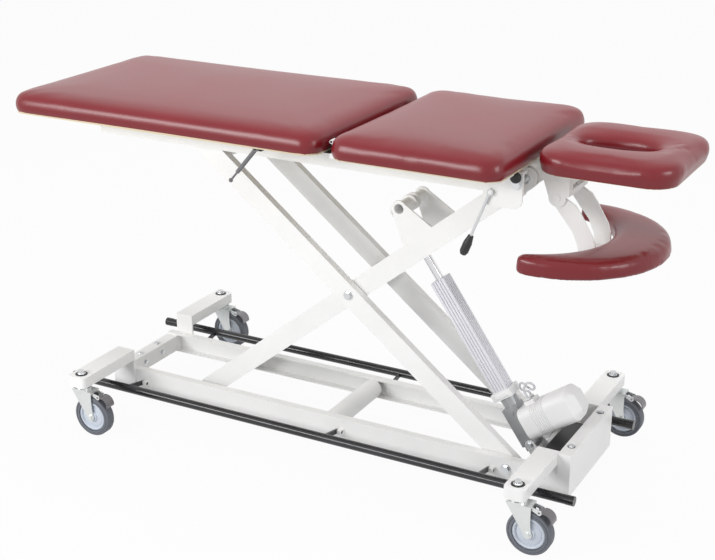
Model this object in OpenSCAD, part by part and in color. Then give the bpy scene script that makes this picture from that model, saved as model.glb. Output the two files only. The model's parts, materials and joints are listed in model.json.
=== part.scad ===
// Chiropractic table: a padded three-section top on a powered scissor lift, with four braked casters.
// X runs from the foot end to the head end, Y to the far side and Z up. The origin is on the floor.

/* [Top] */
// Length of the long leg cushion
leg_len = 1051; // [900:1:1200]
// Length of the fixed middle cushion
mid_len = 506; // [420:1:560]
// Length of the head cushion
head_len = 377; // [320:1:420]
// Gap between two cushions
pad_gap = 12; // [12:0.5:16]
// Width of the leg and middle cushions
top_w = 672; // [600:1:720]
// Width of the head cushion
head_w = 396; // [340:1:440]
// Thickness of the cushions
pad_t = 58; // [50:1:66]
// Corner radius of the cushions, seen from above
pad_corner = 62; // [40:1:90]
// Rise of a cushion's middle above its rolled edge
pad_crown = 5; // [2:0.5:8]
// How far a cushion's long sides draw in between its corners
pad_draw = 4; // [0:0.5:8]
// Thickness of the plywood boards
board_t = 12; // [9:1:18]
// How far the boards stand in from the cushions' edges
board_inset = 14; // [8:1:30]

/* [Lift] */
// Distance between the two end pins of a scissor arm
arm_len = 1308; // [1200:1:1400]
// Height from the base pins to the top pins at full lift
rise = 820; // [700:1:880]
// Height of the base pins above the floor
pin_z = 95; // [88:1:110]
// Distance of the fixed pins from the middle of the base
pin_reach = 585; // [560:1:600]
// Depth of a scissor arm
arm_h = 60; // [50:1:70]
// Thickness of a scissor arm
arm_t = 24; // [20:1:26]
// Wall of the arm tubes
arm_wall = 3; // [2:0.5:4]
// Radius of the pivot pins
pin_r = 8; // [6:0.5:10]

/* [Base] */
// Distance of the base's middle behind the head hinge
base_back = 617; // [600:1:640]
// Distance between the foot and head casters' swivels
wheelbase = 1414; // [1300:1:1450]
// Distance between the near and far casters' swivels
track = 754; // [700:1:800]
// Distance between the outer faces of the two side rails
rail_span = 314; // [310:1:330]
// Height of the side rails
rail_h = 62; // [58:1:66]
// Width of the rails' flanges
flange_w = 25; // [22:1:28]
// Wall of the rails
rail_wall = 5; // [4:0.5:6]
// Height of the outriggers' tops
outrigger_z = 190; // [185:1:200]
// Width of an outrigger
outrigger_w = 62; // [54:1:70]
// Depth of an outrigger
outrigger_h = 34; // [30:1:36]
// Radius of the foot bars that switch the lift
bar_r = 13; // [10:0.5:15]
// Distance of each foot bar from the middle
bar_y = 250; // [230:1:254]
// Length of the foot bars
bar_len = 1663; // [1500:1:1700]

/* [Casters] */
// Radius of the wheels
wheel_r = 62.5; // [58:0.5:64]
// Width of the wheels
wheel_w = 32; // [28:1:34]
// Distance of the wheel's axle behind the swivel
trail = 40; // [30:1:42]

/* [Actuator] */
// Distance of the actuator's base pin from the middle of the base
clevis_reach = 605; // [600:1:615]
// Height of the actuator's base pin
clevis_z = 115; // [112:1:120]
// Place of the lift lug along the inner arm, from its middle
lug_u = 215; // [200:1:230]
// Height of the lift lug above the inner arm's centre line
lug_w = 122; // [110:1:126]
// Width of the actuator's ribbed tube
tube_w = 46; // [40:1:52]
// Distance from the base pin to the tube's open end
tube_end = 534; // [520:1:560]
// Radius of the actuator's rod
rod_r = 12; // [10:0.5:13]
// Radius of the motor housing
motor_r = 48; // [42:1:50]
// Length of the motor housing
motor_len = 182; // [150:1:184]

/* [Head section] */
// Outer distance between the side plates of the head bracket
head_span = 144; // [136:1:146]
// Distance of the arm rest's pivot from the head hinge, along the table
rest_pivot_x = 44; // [40:1:50]
// Depth of the arm rest's pivot below the head hinge
rest_pivot_h = 90; // [84:1:96]
// Radius of the arm rest's outer edge
rest_r = 268; // [240:1:280]
// Thickness of the arm rest
rest_t = 42; // [34:1:48]
// Depth of the arm rest's top below the cushions' tops
rest_drop = 264; // [255:1:275]

/* [Hidden] */
$fn = 48;
cut = 1;
fit = 0.05;
seat_gap = 0.3;
play = 0.5;
plate_t = 6;
sheet_t = 4;
sides = [-1, 1];
ends = [-1, 1];

top_len = leg_len + mid_len + head_len + 2 * pad_gap;
foot_x = -top_len / 2;
leg_hinge_x = foot_x + leg_len + pad_gap / 2;
mid_pad_x = leg_hinge_x + pad_gap / 2;
head_hinge_x = mid_pad_x + mid_len + pad_gap / 2;
head_pad_x = head_hinge_x + pad_gap / 2;
base_x = head_hinge_x - base_back;

arm_angle = asin(rise / arm_len);
lift_angle = 22;
arm_run = arm_len * cos(arm_angle);
low_run = arm_len * cos(arm_angle - lift_angle);
pin_x = base_x + pin_reach;
mid_x = pin_x - arm_run / 2;
mid_z = pin_z + rise / 2;
top_pin_z = pin_z + rise;

rail_y = rail_span / 2;
flange_y = rail_y - flange_w;
arm_gap = 3;
outer_y = flange_y - arm_gap;
inner_y = outer_y - arm_t - arm_gap;
roller_r = rail_h / 2 - rail_wall - seat_gap;
roller_w = flange_w - rail_wall - arm_gap;
rail_z = pin_z - rail_h / 2;
rail_top = pin_z + rail_h / 2;
foot_over = 53;
end_plate_w = 40;
rail_foot_x = min(base_x - wheelbase / 2 - foot_over, pin_x - low_run - arm_h / 2 - end_plate_w - play);
box_depth = 37;
rail_head_x = base_x + wheelbase / 2 + outrigger_w / 2 + box_depth - sheet_t;

top_rail_z = top_pin_z - rail_h / 2;
bearer_z = top_pin_z + rail_h / 2;
bearer_t = 11.7;
bearer_w = 46;
board_z = bearer_z + bearer_t + seat_gap;
pad_z = board_z + board_t;
top_z = pad_z + pad_t;
top_rail_foot_x = pin_x - arm_len - roller_r;
top_rail_head_x = pin_x + arm_h / 4;

hinge_pin_r = 3;
leg_knuckle_r = 5.5;
leg_hinge_drop = 11;
leg_hinge_z = pad_z + pad_t / 2 - leg_hinge_drop;
leaf_t = 2.5;
head_eye_r = 12;
head_hinge_z = board_z - leaf_t;
head_pin_r = 6;

// A round bar along Y, from y0 to y1
module y_bar(x, z, r, y0, y1) {
    translate([x, y0, z]) rotate([-90, 0, 0]) cylinder(h = y1 - y0, r = r);
}

// A flat plate standing in the XZ plane, from y0 towards +Y
module y_plate(y0, t) {
    translate([0, y0 + t, 0]) rotate([90, 0, 0]) linear_extrude(height = t) children();
}

// The same shape on one side of the table, from the inner face in towards the middle
module side_plate(side, y_out, t) {
    y_plate(side > 0 ? y_out - t : -y_out, t) children();
}

// A hexagon bolt head or nut with its washer, standing on a face along +Z
module hex_head(r, h) {
    cylinder(h = h / 4, r = r * 1.25);
    translate([0, 0, h / 4]) cylinder(h = h * 3 / 4, r = r, $fn = 6);
}

// Frames of the two arm pairs and of the actuator: local X runs along the piece
module at_inner() {
    translate([mid_x, 0, mid_z]) rotate([0, -arm_angle, 0]) children();
}

module at_outer() {
    translate([mid_x, 0, mid_z]) rotate([0, arm_angle, 0]) children();
}

// Points of a plan outline with rounded corners, where the sides draw in between the corners
corner_steps = 5;
side_steps = 4;
function corner_pts(cx, cy, r, a0) = [
    for (i = [0 : corner_steps]) let (a = a0 + 90 * i / corner_steps)
        [cx + r * cos(a), cy + r * sin(a)]
];
function side_pts(p, q, dir, draw) = [
    for (i = [1 : side_steps - 1]) let (t = i / side_steps)
        [p[0] + (q[0] - p[0]) * t + dir[0] * draw * 4 * t * (1 - t),
         p[1] + (q[1] - p[1]) * t + dir[1] * draw * 4 * t * (1 - t)]
];
function outline(a, b, r, draw) = let (
    c = [corner_pts(a - r, b - r, r, 0), corner_pts(r - a, b - r, r, 90),
         corner_pts(r - a, r - b, r, 180), corner_pts(a - r, r - b, r, 270)],
    dirs = [[0, -1], [1, 0], [0, 1], [-1, 0]]
) [for (k = [0 : 3]) each concat(c[k], side_pts(c[k][corner_steps], c[(k + 1) % 4][0], dirs[k], draw))];

// Faces of a skin over rings of n points; a loop joins the last ring to the first
function skin(n, rings, loop) = [
    for (k = [0 : rings - (loop ? 1 : 2)], i = [0 : n - 1]) let (
        a = k * n + i, b = k * n + (i + 1) % n,
        c = ((k + 1) % rings) * n + (i + 1) % n, d = ((k + 1) % rings) * n + i
    ) each [[a, c, b], [a, d, c]]
];
function cap_low(n) = [for (i = [1 : n - 2]) [0, i, i + 1]];
function cap_high(n, rings) = let (o = (rings - 1) * n) [for (i = [1 : n - 2]) [o, o + i + 1, o + i]];

// The rolled section of a cushion: how far each ring stands in and how high, in shares of the thickness
roll_shares = [[0.30, 0], [0.10, 0.09], [0.02, 0.27], [0, 0.48], [0.03, 0.68], [0.13, 0.85], [0.34, 0.955]];
crown_shares = [0.45, 0.8];
function pad_rings(a, b, r, draw, t, crown) = concat(
    [for (s = roll_shares) [for (p = outline(a - s[0] * t, b - s[0] * t, r - s[0] * t, draw))
        [p[0], p[1], s[1] * (t - crown)]]],
    [for (s = crown_shares) let (d = roll_shares[6][0] * t + s * (min(a, b) - t))
        [for (p = outline(a - d, b - d, max(r - d, t / 8), 0)) [p[0], p[1], t - crown * (1 - s) * (1 - s)]]]
);

// A crowned cushion with rolled edges, centred in plan
module cushion(len, w, t, r, crown, draw) {
    rings = pad_rings(len / 2, w / 2, r, draw, t, crown);
    n = len(rings[0]);
    m = len(rings);
    polyhedron(
        points = concat([for (ring = rings) each ring], [[0, 0, 0], [0, 0, t]]),
        faces = concat(
            skin(n, m, false),
            [for (i = [0 : n - 1]) [m * n, i, (i + 1) % n]],
            [for (i = [0 : n - 1]) [m * n + 1, (m - 1) * n + (i + 1) % n, (m - 1) * n + i]]
        )
    );
}

// Base frame

module on_side(side) {
    mirror([0, side < 0 ? 1 : 0, 0]) children();
}

// A C-shaped rail on the far side, open towards the middle
module c_rail(x0, x1, zc) {
    translate([x0, 0, zc]) difference() {
        translate([0, flange_y, -rail_h / 2]) cube([x1 - x0, flange_w, rail_h]);
        translate([-cut, flange_y - cut, rail_wall - rail_h / 2])
            cube([x1 - x0 + 2 * cut, flange_w - rail_wall + cut, rail_h - 2 * rail_wall]);
    }
}

// Blocks on the rails' outer faces that the foot bars rock in
bar_block = 14;
bar_axis_out = 9;
bar_axis_drop = 7;
bar_axis_y = rail_y + bar_axis_out;
bar_axis_z = pin_z - bar_axis_drop;
bar_pin_r = 5;
bar_strap_t = 6;
bar_shifts = [-640, 60, 540];
bar_places = [for (d = bar_shifts) base_x + d];
module bar_blocks() {
    for (x = bar_places) difference() {
        translate([x, rail_y, bar_axis_z - bar_block / 2])
            cube([bar_block, bar_block + cut, bar_block]);
        translate([x - cut, bar_axis_y, bar_axis_z]) rotate([0, 90, 0])
            cylinder(h = bar_block + 2 * cut, r = bar_pin_r + fit);
    }
}

module base_rails() {
    color("whitesmoke") for (s = sides) on_side(s) difference() {
        translate([rail_foot_x, rail_y - rail_wall, rail_z])
            cube([rail_head_x - rail_foot_x, rail_wall, rail_h]);
        y_bar(pin_x, pin_z, pin_r + fit, flange_y, rail_y + cut);
    }
}

module base_rail_flanges() {
    color("whitesmoke") for (s = sides) on_side(s) {
        for (z = [rail_z, rail_z + rail_h - rail_wall]) translate([rail_foot_x, flange_y, z])
            cube([rail_head_x - rail_foot_x, flange_w - rail_wall, rail_wall]);
        bar_blocks();
    }
}

end_plate_z = rail_z + rail_wall;
end_plate_h = rail_h - 2 * rail_wall;
end_plate_y = rail_y - rail_wall;

box_over = 15;
box_y = rail_y + box_over;
box_x = rail_head_x + sheet_t - box_depth;
module head_end_box() {
    color("whitesmoke") difference() {
        translate([box_x, -box_y, rail_z]) cube([box_depth, 2 * box_y, outrigger_z - rail_z]);
        translate([box_x - cut, sheet_t - box_y, rail_z - cut])
            cube([box_depth - sheet_t + cut, 2 * box_y - 2 * sheet_t, outrigger_z - rail_z - sheet_t + cut]);
    }
}

cross_tube_r = rail_h / 2 - cut;
cross_tube_shift = 20;
cross_tube_x = base_x + cross_tube_shift;
module base_cross_members() {
    color("whitesmoke") difference() {
        y_bar(cross_tube_x, pin_z, cross_tube_r, -flange_y, flange_y);
        y_bar(cross_tube_x, pin_z, cross_tube_r - arm_wall, -flange_y - cut, flange_y + cut);
    }
    color("whitesmoke") difference() {
        translate([rail_foot_x, -end_plate_y, end_plate_z])
            cube([end_plate_w, 2 * end_plate_y, end_plate_h]);
        translate([rail_foot_x - cut, -end_plate_y - cut, end_plate_z + sheet_t])
            cube([end_plate_w - sheet_t + cut, 2 * end_plate_y + 2 * cut, end_plate_h - 2 * sheet_t]);
    }
}

stem_r = 6;
boss_r = 17;
outrigger_tip = 30;
outrigger_round = 14;
module outrigger() {
    reach = track / 2 + outrigger_tip - rail_y;
    low = outrigger_z - outrigger_h;
    difference() {
        union() {
            translate([-outrigger_w / 2, rail_y, low])
                cube([outrigger_w, reach - outrigger_round, outrigger_h]);
            translate([outrigger_round - outrigger_w / 2, rail_y, low])
                cube([outrigger_w - 2 * outrigger_round, reach, outrigger_h]);
            for (e = ends)
                translate([e * (outrigger_w / 2 - outrigger_round), rail_y + reach - outrigger_round, low])
                    cylinder(h = outrigger_h, r = outrigger_round);
            translate([-outrigger_w / 2, rail_y, rail_z]) cube([outrigger_w, plate_t, low - rail_z + cut]);
        }
        translate([sheet_t - outrigger_w / 2, rail_y + plate_t, low - cut])
            cube([outrigger_w - 2 * sheet_t, reach - plate_t - outrigger_round,
                outrigger_h - sheet_t + cut]);
    }
    translate([0, track / 2, low]) difference() {
        cylinder(h = outrigger_h - sheet_t / 2, r = boss_r);
        translate([0, 0, -cut]) cylinder(h = outrigger_h + 2 * cut, r = stem_r + fit);
    }
}

module outriggers() {
    color("whitesmoke") for (e = ends, s = sides) difference() {
        on_side(s) translate([base_x + e * wheelbase / 2, 0, 0]) outrigger();
        translate([base_x + e * wheelbase / 2, s * track / 2, 0])
            cylinder(h = outrigger_z + cut, r = stem_r + fit);
    }
}

clevis_x = base_x + clevis_reach;
clevis_bar_w = 30;
clevis_bar_dx = 16;
clevis_bar_x = clevis_x + clevis_bar_dx;
clevis_bar_h = 26;
clevis_ear_y = 25.5;
clevis_ear_r = 15;
clevis_pin_r = 6;
module actuator_clevis() {
    color("whitesmoke") {
        translate([clevis_bar_x, -end_plate_y, end_plate_z])
            cube([clevis_bar_w, 2 * end_plate_y, clevis_bar_h]);
        for (s = sides) on_side(s) y_plate(clevis_ear_y, plate_t) difference() {
            union() {
                translate([clevis_x, clevis_z]) circle(r = clevis_ear_r);
                polygon([
                    [clevis_x - clevis_ear_r, clevis_z],
                    [clevis_bar_x, end_plate_z],
                    [clevis_bar_x + clevis_bar_w, end_plate_z + clevis_bar_h],
                    [clevis_x + clevis_ear_r / 2, clevis_z + clevis_ear_r * 0.86]
                ]);
            }
            translate([clevis_x, clevis_z]) circle(r = clevis_pin_r + fit);
        }
    }
}

// Caster stems with their nuts, pivot pins of the outer arms, the clevis pin and the frame's bolts
bolt_r = 7;
bolt_h = 6;
nut_r = 10;
race_r = 24;
fork_top = outrigger_z - outrigger_h - plate_t;
fork_crown = 12;
plate_bolt_y = 45;
box_bolt_y = 118;
module base_hardware() {
    color("silver") {
        for (e = ends, s = sides) translate([base_x + e * wheelbase / 2, s * track / 2, 0]) {
            translate([0, 0, fork_top - fork_crown - plate_t])
                cylinder(h = outrigger_z + bolt_h - fork_top + fork_crown + plate_t, r = stem_r);
            translate([0, 0, fork_top - fork_crown - plate_t])
                cylinder(h = plate_t - play, r = 1.5 * stem_r);
            translate([0, 0, fork_top + play]) cylinder(h = plate_t - play, r = race_r);
            translate([0, 0, outrigger_z]) hex_head(nut_r, 2 * bolt_h);
        }
        for (s = sides) on_side(s) {
            y_bar(pin_x, pin_z, pin_r, outer_y - arm_t - arm_gap, rail_y + cut);
            translate([pin_x, rail_y, pin_z]) rotate([-90, 0, 0]) hex_head(1.6 * pin_r, 1.6 * bolt_h);
            translate([rail_foot_x + end_plate_w, plate_bolt_y, pin_z]) rotate([0, 90, 0])
                hex_head(bolt_r, bolt_h);
            translate([rail_foot_x + end_plate_w / 2, plate_bolt_y, end_plate_z + end_plate_h])
                hex_head(bolt_r, bolt_h);
            translate([box_x + box_depth / 2, box_bolt_y, outrigger_z]) hex_head(bolt_r, bolt_h);
        }
        y_bar(clevis_x, clevis_z, clevis_pin_r, -clevis_ear_y - plate_t - cut, clevis_ear_y + plate_t + cut);
        for (s = sides) on_side(s)
            translate([clevis_x, clevis_ear_y + plate_t, clevis_z]) rotate([-90, 0, 0])
                hex_head(nut_r, 1.3 * bolt_h);
    }
}

control_len = 90;
control_w = 190;
control_h = 52;
module control_box() {
    color("dimgray") translate([rail_head_x - control_len, -control_w / 2, end_plate_z]) {
        cube([control_len, control_w, control_h - plate_t]);
        translate([plate_t, plate_t, 0])
            cube([control_len - 2 * plate_t, control_w - 2 * plate_t, control_h]);
    }
}

// Foot bars: each rocks on three straps about a line beside its rail
bar_z = 105;
bar_back = 845;
bar_x0 = base_x - bar_back;
cap_len = 22;
cap_over = 0.6;
strap_h = 14;
module switch_bar() {
    color("darkslategray") {
        translate([bar_x0, bar_y, bar_z]) rotate([0, 90, 0]) cylinder(h = bar_len, r = bar_r);
        for (x = [bar_x0 - cap_over, bar_x0 + bar_len - cap_len + cap_over])
            translate([x, bar_y, bar_z]) rotate([0, 90, 0]) cylinder(h = cap_len, r = bar_r + cap_over);
    }
    color("silver") for (x = bar_places) {
        rise_a = atan2(bar_z - bar_axis_z, bar_y - bar_axis_y);
        span = norm([bar_z - bar_axis_z, bar_y - bar_axis_y]);
        translate([x - bar_strap_t - play, bar_axis_y, bar_axis_z]) {
            rotate([rise_a, 0, 0]) translate([0, 0, -strap_h / 2])
                cube([bar_strap_t, span - bar_r / 2, strap_h]);
            rotate([0, 90, 0]) cylinder(h = bar_strap_t, r = strap_h / 2);
            rotate([0, 90, 0]) cylinder(h = bar_strap_t + play + bar_block, r = bar_pin_r);
        }
    }
}
module switch_bar_near() { on_side(-1) switch_bar(); }
module switch_bar_far() { switch_bar(); }

// Casters

fork_clear = 2;
fork_gap = wheel_w / 2 + fork_clear;
fork_t = 3;
axle_r = 5;
hub_r = 47;
brake_back = 26;
brake_drop = 20;
brake_x = trail + brake_back;
brake_z = fork_top - brake_drop;
brake_w = 11;
ear_gap = 0.6;
module at_caster(e, s) {
    translate([base_x + e * wheelbase / 2, s * track / 2, 0]) children();
}

module fork() {
    low = fork_top - fork_crown;
    color("silver") {
        difference() {
            union() {
                translate([0, 0, low]) cylinder(h = fork_crown, r = race_r + fork_t);
                translate([0, -fork_gap - fork_t, low])
                    cube([trail + plate_t, 2 * (fork_gap + fork_t), plate_t]);
            }
            translate([0, 0, low - cut]) cylinder(h = fork_crown + 2 * cut, r = stem_r + fit);
        }
        for (s = sides) on_side(s) {
            y_plate(fork_gap, fork_t) {
                polygon([
                    [-race_r, low + plate_t],
                    [trail + plate_t, low + plate_t],
                    [trail + plate_t, wheel_r + wheel_r / 2],
                    [trail + 2 * axle_r, wheel_r],
                    [trail - 2 * axle_r, wheel_r - axle_r]
                ]);
                translate([trail, wheel_r]) circle(r = 2.4 * axle_r);
            }
            y_plate(brake_w + ear_gap, fork_t) difference() {
                union() {
                    polygon([
                        [trail - plate_t, low], [trail - plate_t, low + plate_t],
                        [brake_x, brake_z + 1.2 * plate_t], [brake_x, brake_z - 1.2 * plate_t]
                    ]);
                    translate([brake_x, brake_z]) circle(r = 1.2 * plate_t);
                }
                translate([brake_x, brake_z]) circle(r = fork_t + fit);
            }
        }
        y_bar(trail, wheel_r, axle_r, -fork_gap - fork_t, fork_gap + fork_t);
        for (s = sides) on_side(s) translate([trail, fork_gap + fork_t, wheel_r]) rotate([-90, 0, 0])
            hex_head(1.5 * axle_r, axle_r);
    }
}
module fork_foot_near() { at_caster(-1, -1) fork(); }
module fork_foot_far() { at_caster(-1, 1) fork(); }
module fork_head_near() { at_caster(1, -1) fork(); }
module fork_head_far() { at_caster(1, 1) fork(); }

// A wheel part turned about the axle from a half outline of radius against width
module turned() {
    translate([trail, 0, wheel_r]) rotate([90, 0, 0]) rotate_extrude($fn = 64) children();
}

tyre_round = 5;
module tyre() {
    color("dimgray") turned() difference() {
        union() {
            translate([hub_r, -wheel_w / 2]) square([wheel_r - hub_r - tyre_round, wheel_w]);
            translate([hub_r, tyre_round - wheel_w / 2]) square([wheel_r - hub_r, wheel_w - 2 * tyre_round]);
            for (s = sides) translate([wheel_r - tyre_round, s * (wheel_w / 2 - tyre_round)])
                circle(r = tyre_round);
        }
        for (s = sides) translate([(hub_r + wheel_r) / 2, s * wheel_w / 2]) circle(r = fork_t / 2);
    }
}
module tyre_foot_near() { at_caster(-1, -1) tyre(); }
module tyre_foot_far() { at_caster(-1, 1) tyre(); }
module tyre_head_near() { at_caster(1, -1) tyre(); }
module tyre_head_far() { at_caster(1, 1) tyre(); }

hub_boss_r = 15;
hub_rim = 6;
hub_web = 22;
hub_step = 2;
module hub() {
    boss = fork_gap - play;
    web = hub_web / 2;
    half = [
        [axle_r + fit, boss], [hub_boss_r, boss], [hub_boss_r + hub_step, boss - hub_step],
        [hub_boss_r + hub_rim, web], [hub_r - 2 * hub_rim, web], [hub_r - 2 * hub_rim, web - hub_step],
        [hub_r - 1.5 * hub_rim, web - hub_step], [hub_r - hub_rim, wheel_w / 2 - cut],
        [hub_r, wheel_w / 2 - cut]
    ];
    color("lightsteelblue") turned() polygon(concat(
        half, [for (i = [len(half) - 1 : -1 : 0]) [half[i][0], -half[i][1]]]
    ));
}
module hub_foot_near() { at_caster(-1, -1) hub(); }
module hub_foot_far() { at_caster(-1, 1) hub(); }
module hub_head_near() { at_caster(1, -1) hub(); }
module hub_head_far() { at_caster(1, 1) hub(); }

// A brake pedal: an arm over the wheel and a paddle that curls down behind it
paddle_r = 26;
paddle_w = 16;
paddle_t = 4;
paddle_steps = 8;
paddle_top_angle = 100;
paddle_low_angle = -8;
function arc_pts(cx, cz, r, a0, a1, n) = [
    for (i = [0 : n]) let (a = a0 + (a1 - a0) * i / n) [cx + r * cos(a), cz + r * sin(a)]
];
module brake() {
    cx = brake_x + 2 * plate_t;
    cz = brake_z + paddle_t - paddle_r;
    color("gray") {
        y_plate(-brake_w, 2 * brake_w) {
            translate([brake_x, brake_z]) circle(r = plate_t);
            translate([brake_x, brake_z - paddle_t / 2]) square([2 * plate_t, 1.5 * paddle_t]);
        }
        y_plate(-paddle_w, 2 * paddle_w) polygon(concat(
            arc_pts(cx, cz, paddle_r, paddle_top_angle, paddle_low_angle, paddle_steps),
            arc_pts(cx, cz, paddle_r - paddle_t, paddle_low_angle, paddle_top_angle, paddle_steps)
        ));
        y_bar(brake_x, brake_z, fork_t, -brake_w - ear_gap - fork_t, brake_w + ear_gap + fork_t);
    }
}
module brake_foot_near() { at_caster(-1, -1) brake(); }
module brake_foot_far() { at_caster(-1, 1) brake(); }
module brake_head_near() { at_caster(1, -1) brake(); }
module brake_head_far() { at_caster(1, 1) brake(); }

// Scissor arms

bush_r = 16;
shaft_r = 8;
module arm_tube(y_out) {
    end_u = arm_len / 2;
    translate([0, y_out - arm_t / 2, 0]) difference() {
        union() {
            cube([arm_len, arm_t, arm_h], center = true);
            for (e = ends) y_bar(e * end_u, 0, arm_h / 2, -arm_t / 2, arm_t / 2);
        }
        difference() {
            cube([arm_len + arm_h + 2 * cut, arm_t - 2 * arm_wall, arm_h - 2 * arm_wall], center = true);
            for (u = [-end_u, 0, end_u]) y_bar(u, 0, bush_r, -arm_t, arm_t);
        }
        for (u = [-end_u, 0, end_u]) y_bar(u, 0, pin_r + fit, -arm_t, arm_t);
    }
}
module outer_arm_near() { color("whitesmoke") on_side(-1) at_outer() arm_tube(outer_y); }
module outer_arm_far() { color("whitesmoke") at_outer() arm_tube(outer_y); }
module inner_arm_near() { color("whitesmoke") on_side(-1) at_inner() arm_tube(inner_y); }
module inner_arm_far() { color("whitesmoke") at_inner() arm_tube(inner_y); }

outer_tube_r = 16;
outer_tube_back = 96;
module outer_cross_tube() {
    color("whitesmoke") at_outer() difference() {
        y_bar(outer_tube_back - arm_len / 2, 0, outer_tube_r, arm_t - outer_y, outer_y - arm_t);
        y_bar(outer_tube_back - arm_len / 2, 0, outer_tube_r - arm_wall, -outer_y, outer_y);
    }
}

// Each pivot bolt passes through one outer and one inner arm, with a washer between them
module scissor_pivot_bolts() {
    color("silver") for (s = sides) on_side(s) {
        y_bar(mid_x, mid_z, pin_r, inner_y - arm_t - plate_t, outer_y + cut);
        translate([mid_x, outer_y, mid_z]) rotate([-90, 0, 0]) hex_head(1.4 * pin_r, pin_r);
        y_bar(mid_x, mid_z, bush_r - arm_wall, inner_y + seat_gap, inner_y + arm_gap - seat_gap);
        y_bar(mid_x, mid_z, 1.5 * pin_r, inner_y - arm_t - plate_t, inner_y - arm_t - play);
    }
}

// The lift tube stands off the inner arms on gussets and carries the lug plates of the actuator
lift_tube_r = 17;
lift_tube_du = 52;
gusset_r = 24;
gusset_half = 66;
lug_eye_r = 20;
lug_hole_r = 13.6;
rod_end_w = 16;
lug_t = 6;
module inner_cross_tube() {
    tube_u = lug_u + lift_tube_du;
    inner = inner_y - arm_t;
    color("whitesmoke") at_inner() {
        difference() {
            y_bar(tube_u, lug_w, lift_tube_r, -inner, inner);
            y_bar(tube_u, lug_w, lift_tube_r - arm_wall, -inner - cut, inner + cut);
        }
        for (s = sides) on_side(s) {
            y_plate(inner - plate_t, plate_t) difference() {
                union() {
                    translate([tube_u, lug_w]) circle(r = gusset_r);
                    polygon([
                        [tube_u - gusset_half, 0], [tube_u + gusset_half, 0],
                        [tube_u + gusset_r, lug_w], [tube_u - gusset_r, lug_w]
                    ]);
                }
                translate([tube_u, lug_w]) circle(r = lift_tube_r - arm_wall);
            }
            y_plate(rod_end_w / 2 + play, lug_t) difference() {
                union() {
                    translate([tube_u, lug_w]) circle(r = gusset_r);
                    translate([lug_u, lug_w]) circle(r = lug_eye_r);
                    translate([lug_u, lug_w - lug_eye_r]) square([lift_tube_du, 2 * lug_eye_r]);
                }
                translate([tube_u, lug_w]) circle(r = lift_tube_r - arm_wall);
                translate([lug_u, lug_w]) circle(r = lug_hole_r);
            }
        }
    }
}

// A shaft with a roller at each end that runs inside the rails
module roller_shaft() {
    y_bar(0, 0, shaft_r, -rail_y + rail_wall + arm_gap / 2, rail_y - rail_wall - arm_gap / 2);
    for (s = sides) on_side(s)
        y_bar(0, 0, roller_r, rail_y - rail_wall - arm_gap / 2 - roller_w, rail_y - rail_wall - arm_gap / 2);
}
module base_roller_shaft() {
    color("dimgray") translate([pin_x - arm_run, 0, pin_z]) roller_shaft();
}
module top_roller_shaft() {
    color("dimgray") translate([pin_x - arm_run, 0, top_pin_z]) roller_shaft();
}

// Actuator: local X runs up the tube from the base pin, and local -Z points along the motor

lug_x = mid_x + lug_u * cos(arm_angle) - lug_w * sin(arm_angle);
lug_z = mid_z + lug_u * sin(arm_angle) + lug_w * cos(arm_angle);
// The rod-end pin rests off the lug hole's middle, because the lug has lost motion about it
lost_x = 4.65;
lost_z = 5.89;
rod_dx = lug_x + lost_x - clevis_x;
rod_dz = lug_z + lost_z - clevis_z;
rod_reach = norm([rod_dx, rod_dz]);
rod_angle = atan2(rod_dz, rod_dx);
module at_actuator() {
    translate([clevis_x, 0, clevis_z]) rotate([0, -rod_angle, 0]) children();
}

gear_end = 120;
gear_y = 25;
gear_back = 15;
gear_low = 28;
gear_high = 20;
neck_r = 24;
collar_s = 150;
collar_t = 24;
tube_cavity_r = 16;
cavity_s = 300;
tube_groove = 2.5;
groove_places = [-0.3, -0.1, 0.1, 0.3];
mouth_t = 12;
module actuator_tube() {
    half = tube_w / 2;
    color("silver") at_actuator() difference() {
        translate([collar_s + collar_t, 0, 0]) rotate([90, 0, 90])
            linear_extrude(height = tube_end - collar_s - collar_t) difference() {
                square([tube_w, tube_w], center = true);
                for (e = ends, g = groove_places) {
                    translate([e * half, g * tube_w]) square([2 * tube_groove, tube_groove], center = true);
                    translate([g * tube_w, e * half]) square([tube_groove, 2 * tube_groove], center = true);
                }
            }
        translate([cavity_s, 0, 0]) rotate([0, 90, 0])
            cylinder(h = tube_end - mouth_t - cavity_s, r = tube_cavity_r);
        translate([cavity_s, 0, 0]) rotate([0, 90, 0]) cylinder(h = tube_end, r = rod_r + fit);
    }
}

gear_plate_s = 38;
gear_plate_t = 3;
gear_bolt_s = 106;
module actuator_gearbox() {
    color("slategray") at_actuator() {
        difference() {
            union() {
                translate([0, -gear_y, -gear_high]) cube([gear_end, 2 * gear_y, gear_low + gear_high]);
                translate([-gear_back, -gear_y, -gear_high / 2])
                    cube([gear_back + cut, 2 * gear_y, gear_low + gear_high / 2 - gear_back / 2]);
                translate([gear_plate_s, -gear_y - gear_plate_t, gear_plate_t - gear_high])
                    cube([gear_end - gear_plate_s - gear_plate_t, 2 * (gear_y + gear_plate_t),
                        gear_low + gear_high - 2 * gear_plate_t]);
            }
            y_bar(0, 0, clevis_pin_r + fit, -2 * gear_y, 2 * gear_y);
        }
        translate([gear_end - cut, 0, 0]) rotate([0, 90, 0])
            cylinder(h = collar_s - gear_end + cut, r = neck_r);
        for (s = sides) on_side(s) translate([gear_bolt_s, gear_y + gear_plate_t, 0]) rotate([-90, 0, 0])
            cylinder(h = gear_plate_t, r = bolt_r);
    }
}

collar_m = 66;
collar_y = 60;
module actuator_collar() {
    color("whitesmoke") at_actuator() {
        translate([collar_s, -collar_y / 2, -collar_m / 2]) cube([collar_t, collar_y, collar_m]);
        translate([collar_s + collar_t / 4, -collar_y / 2 - gear_plate_t, -collar_m / 3])
            cube([collar_t / 2, collar_y + 2 * gear_plate_t, collar_m * 2 / 3]);
    }
}

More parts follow.
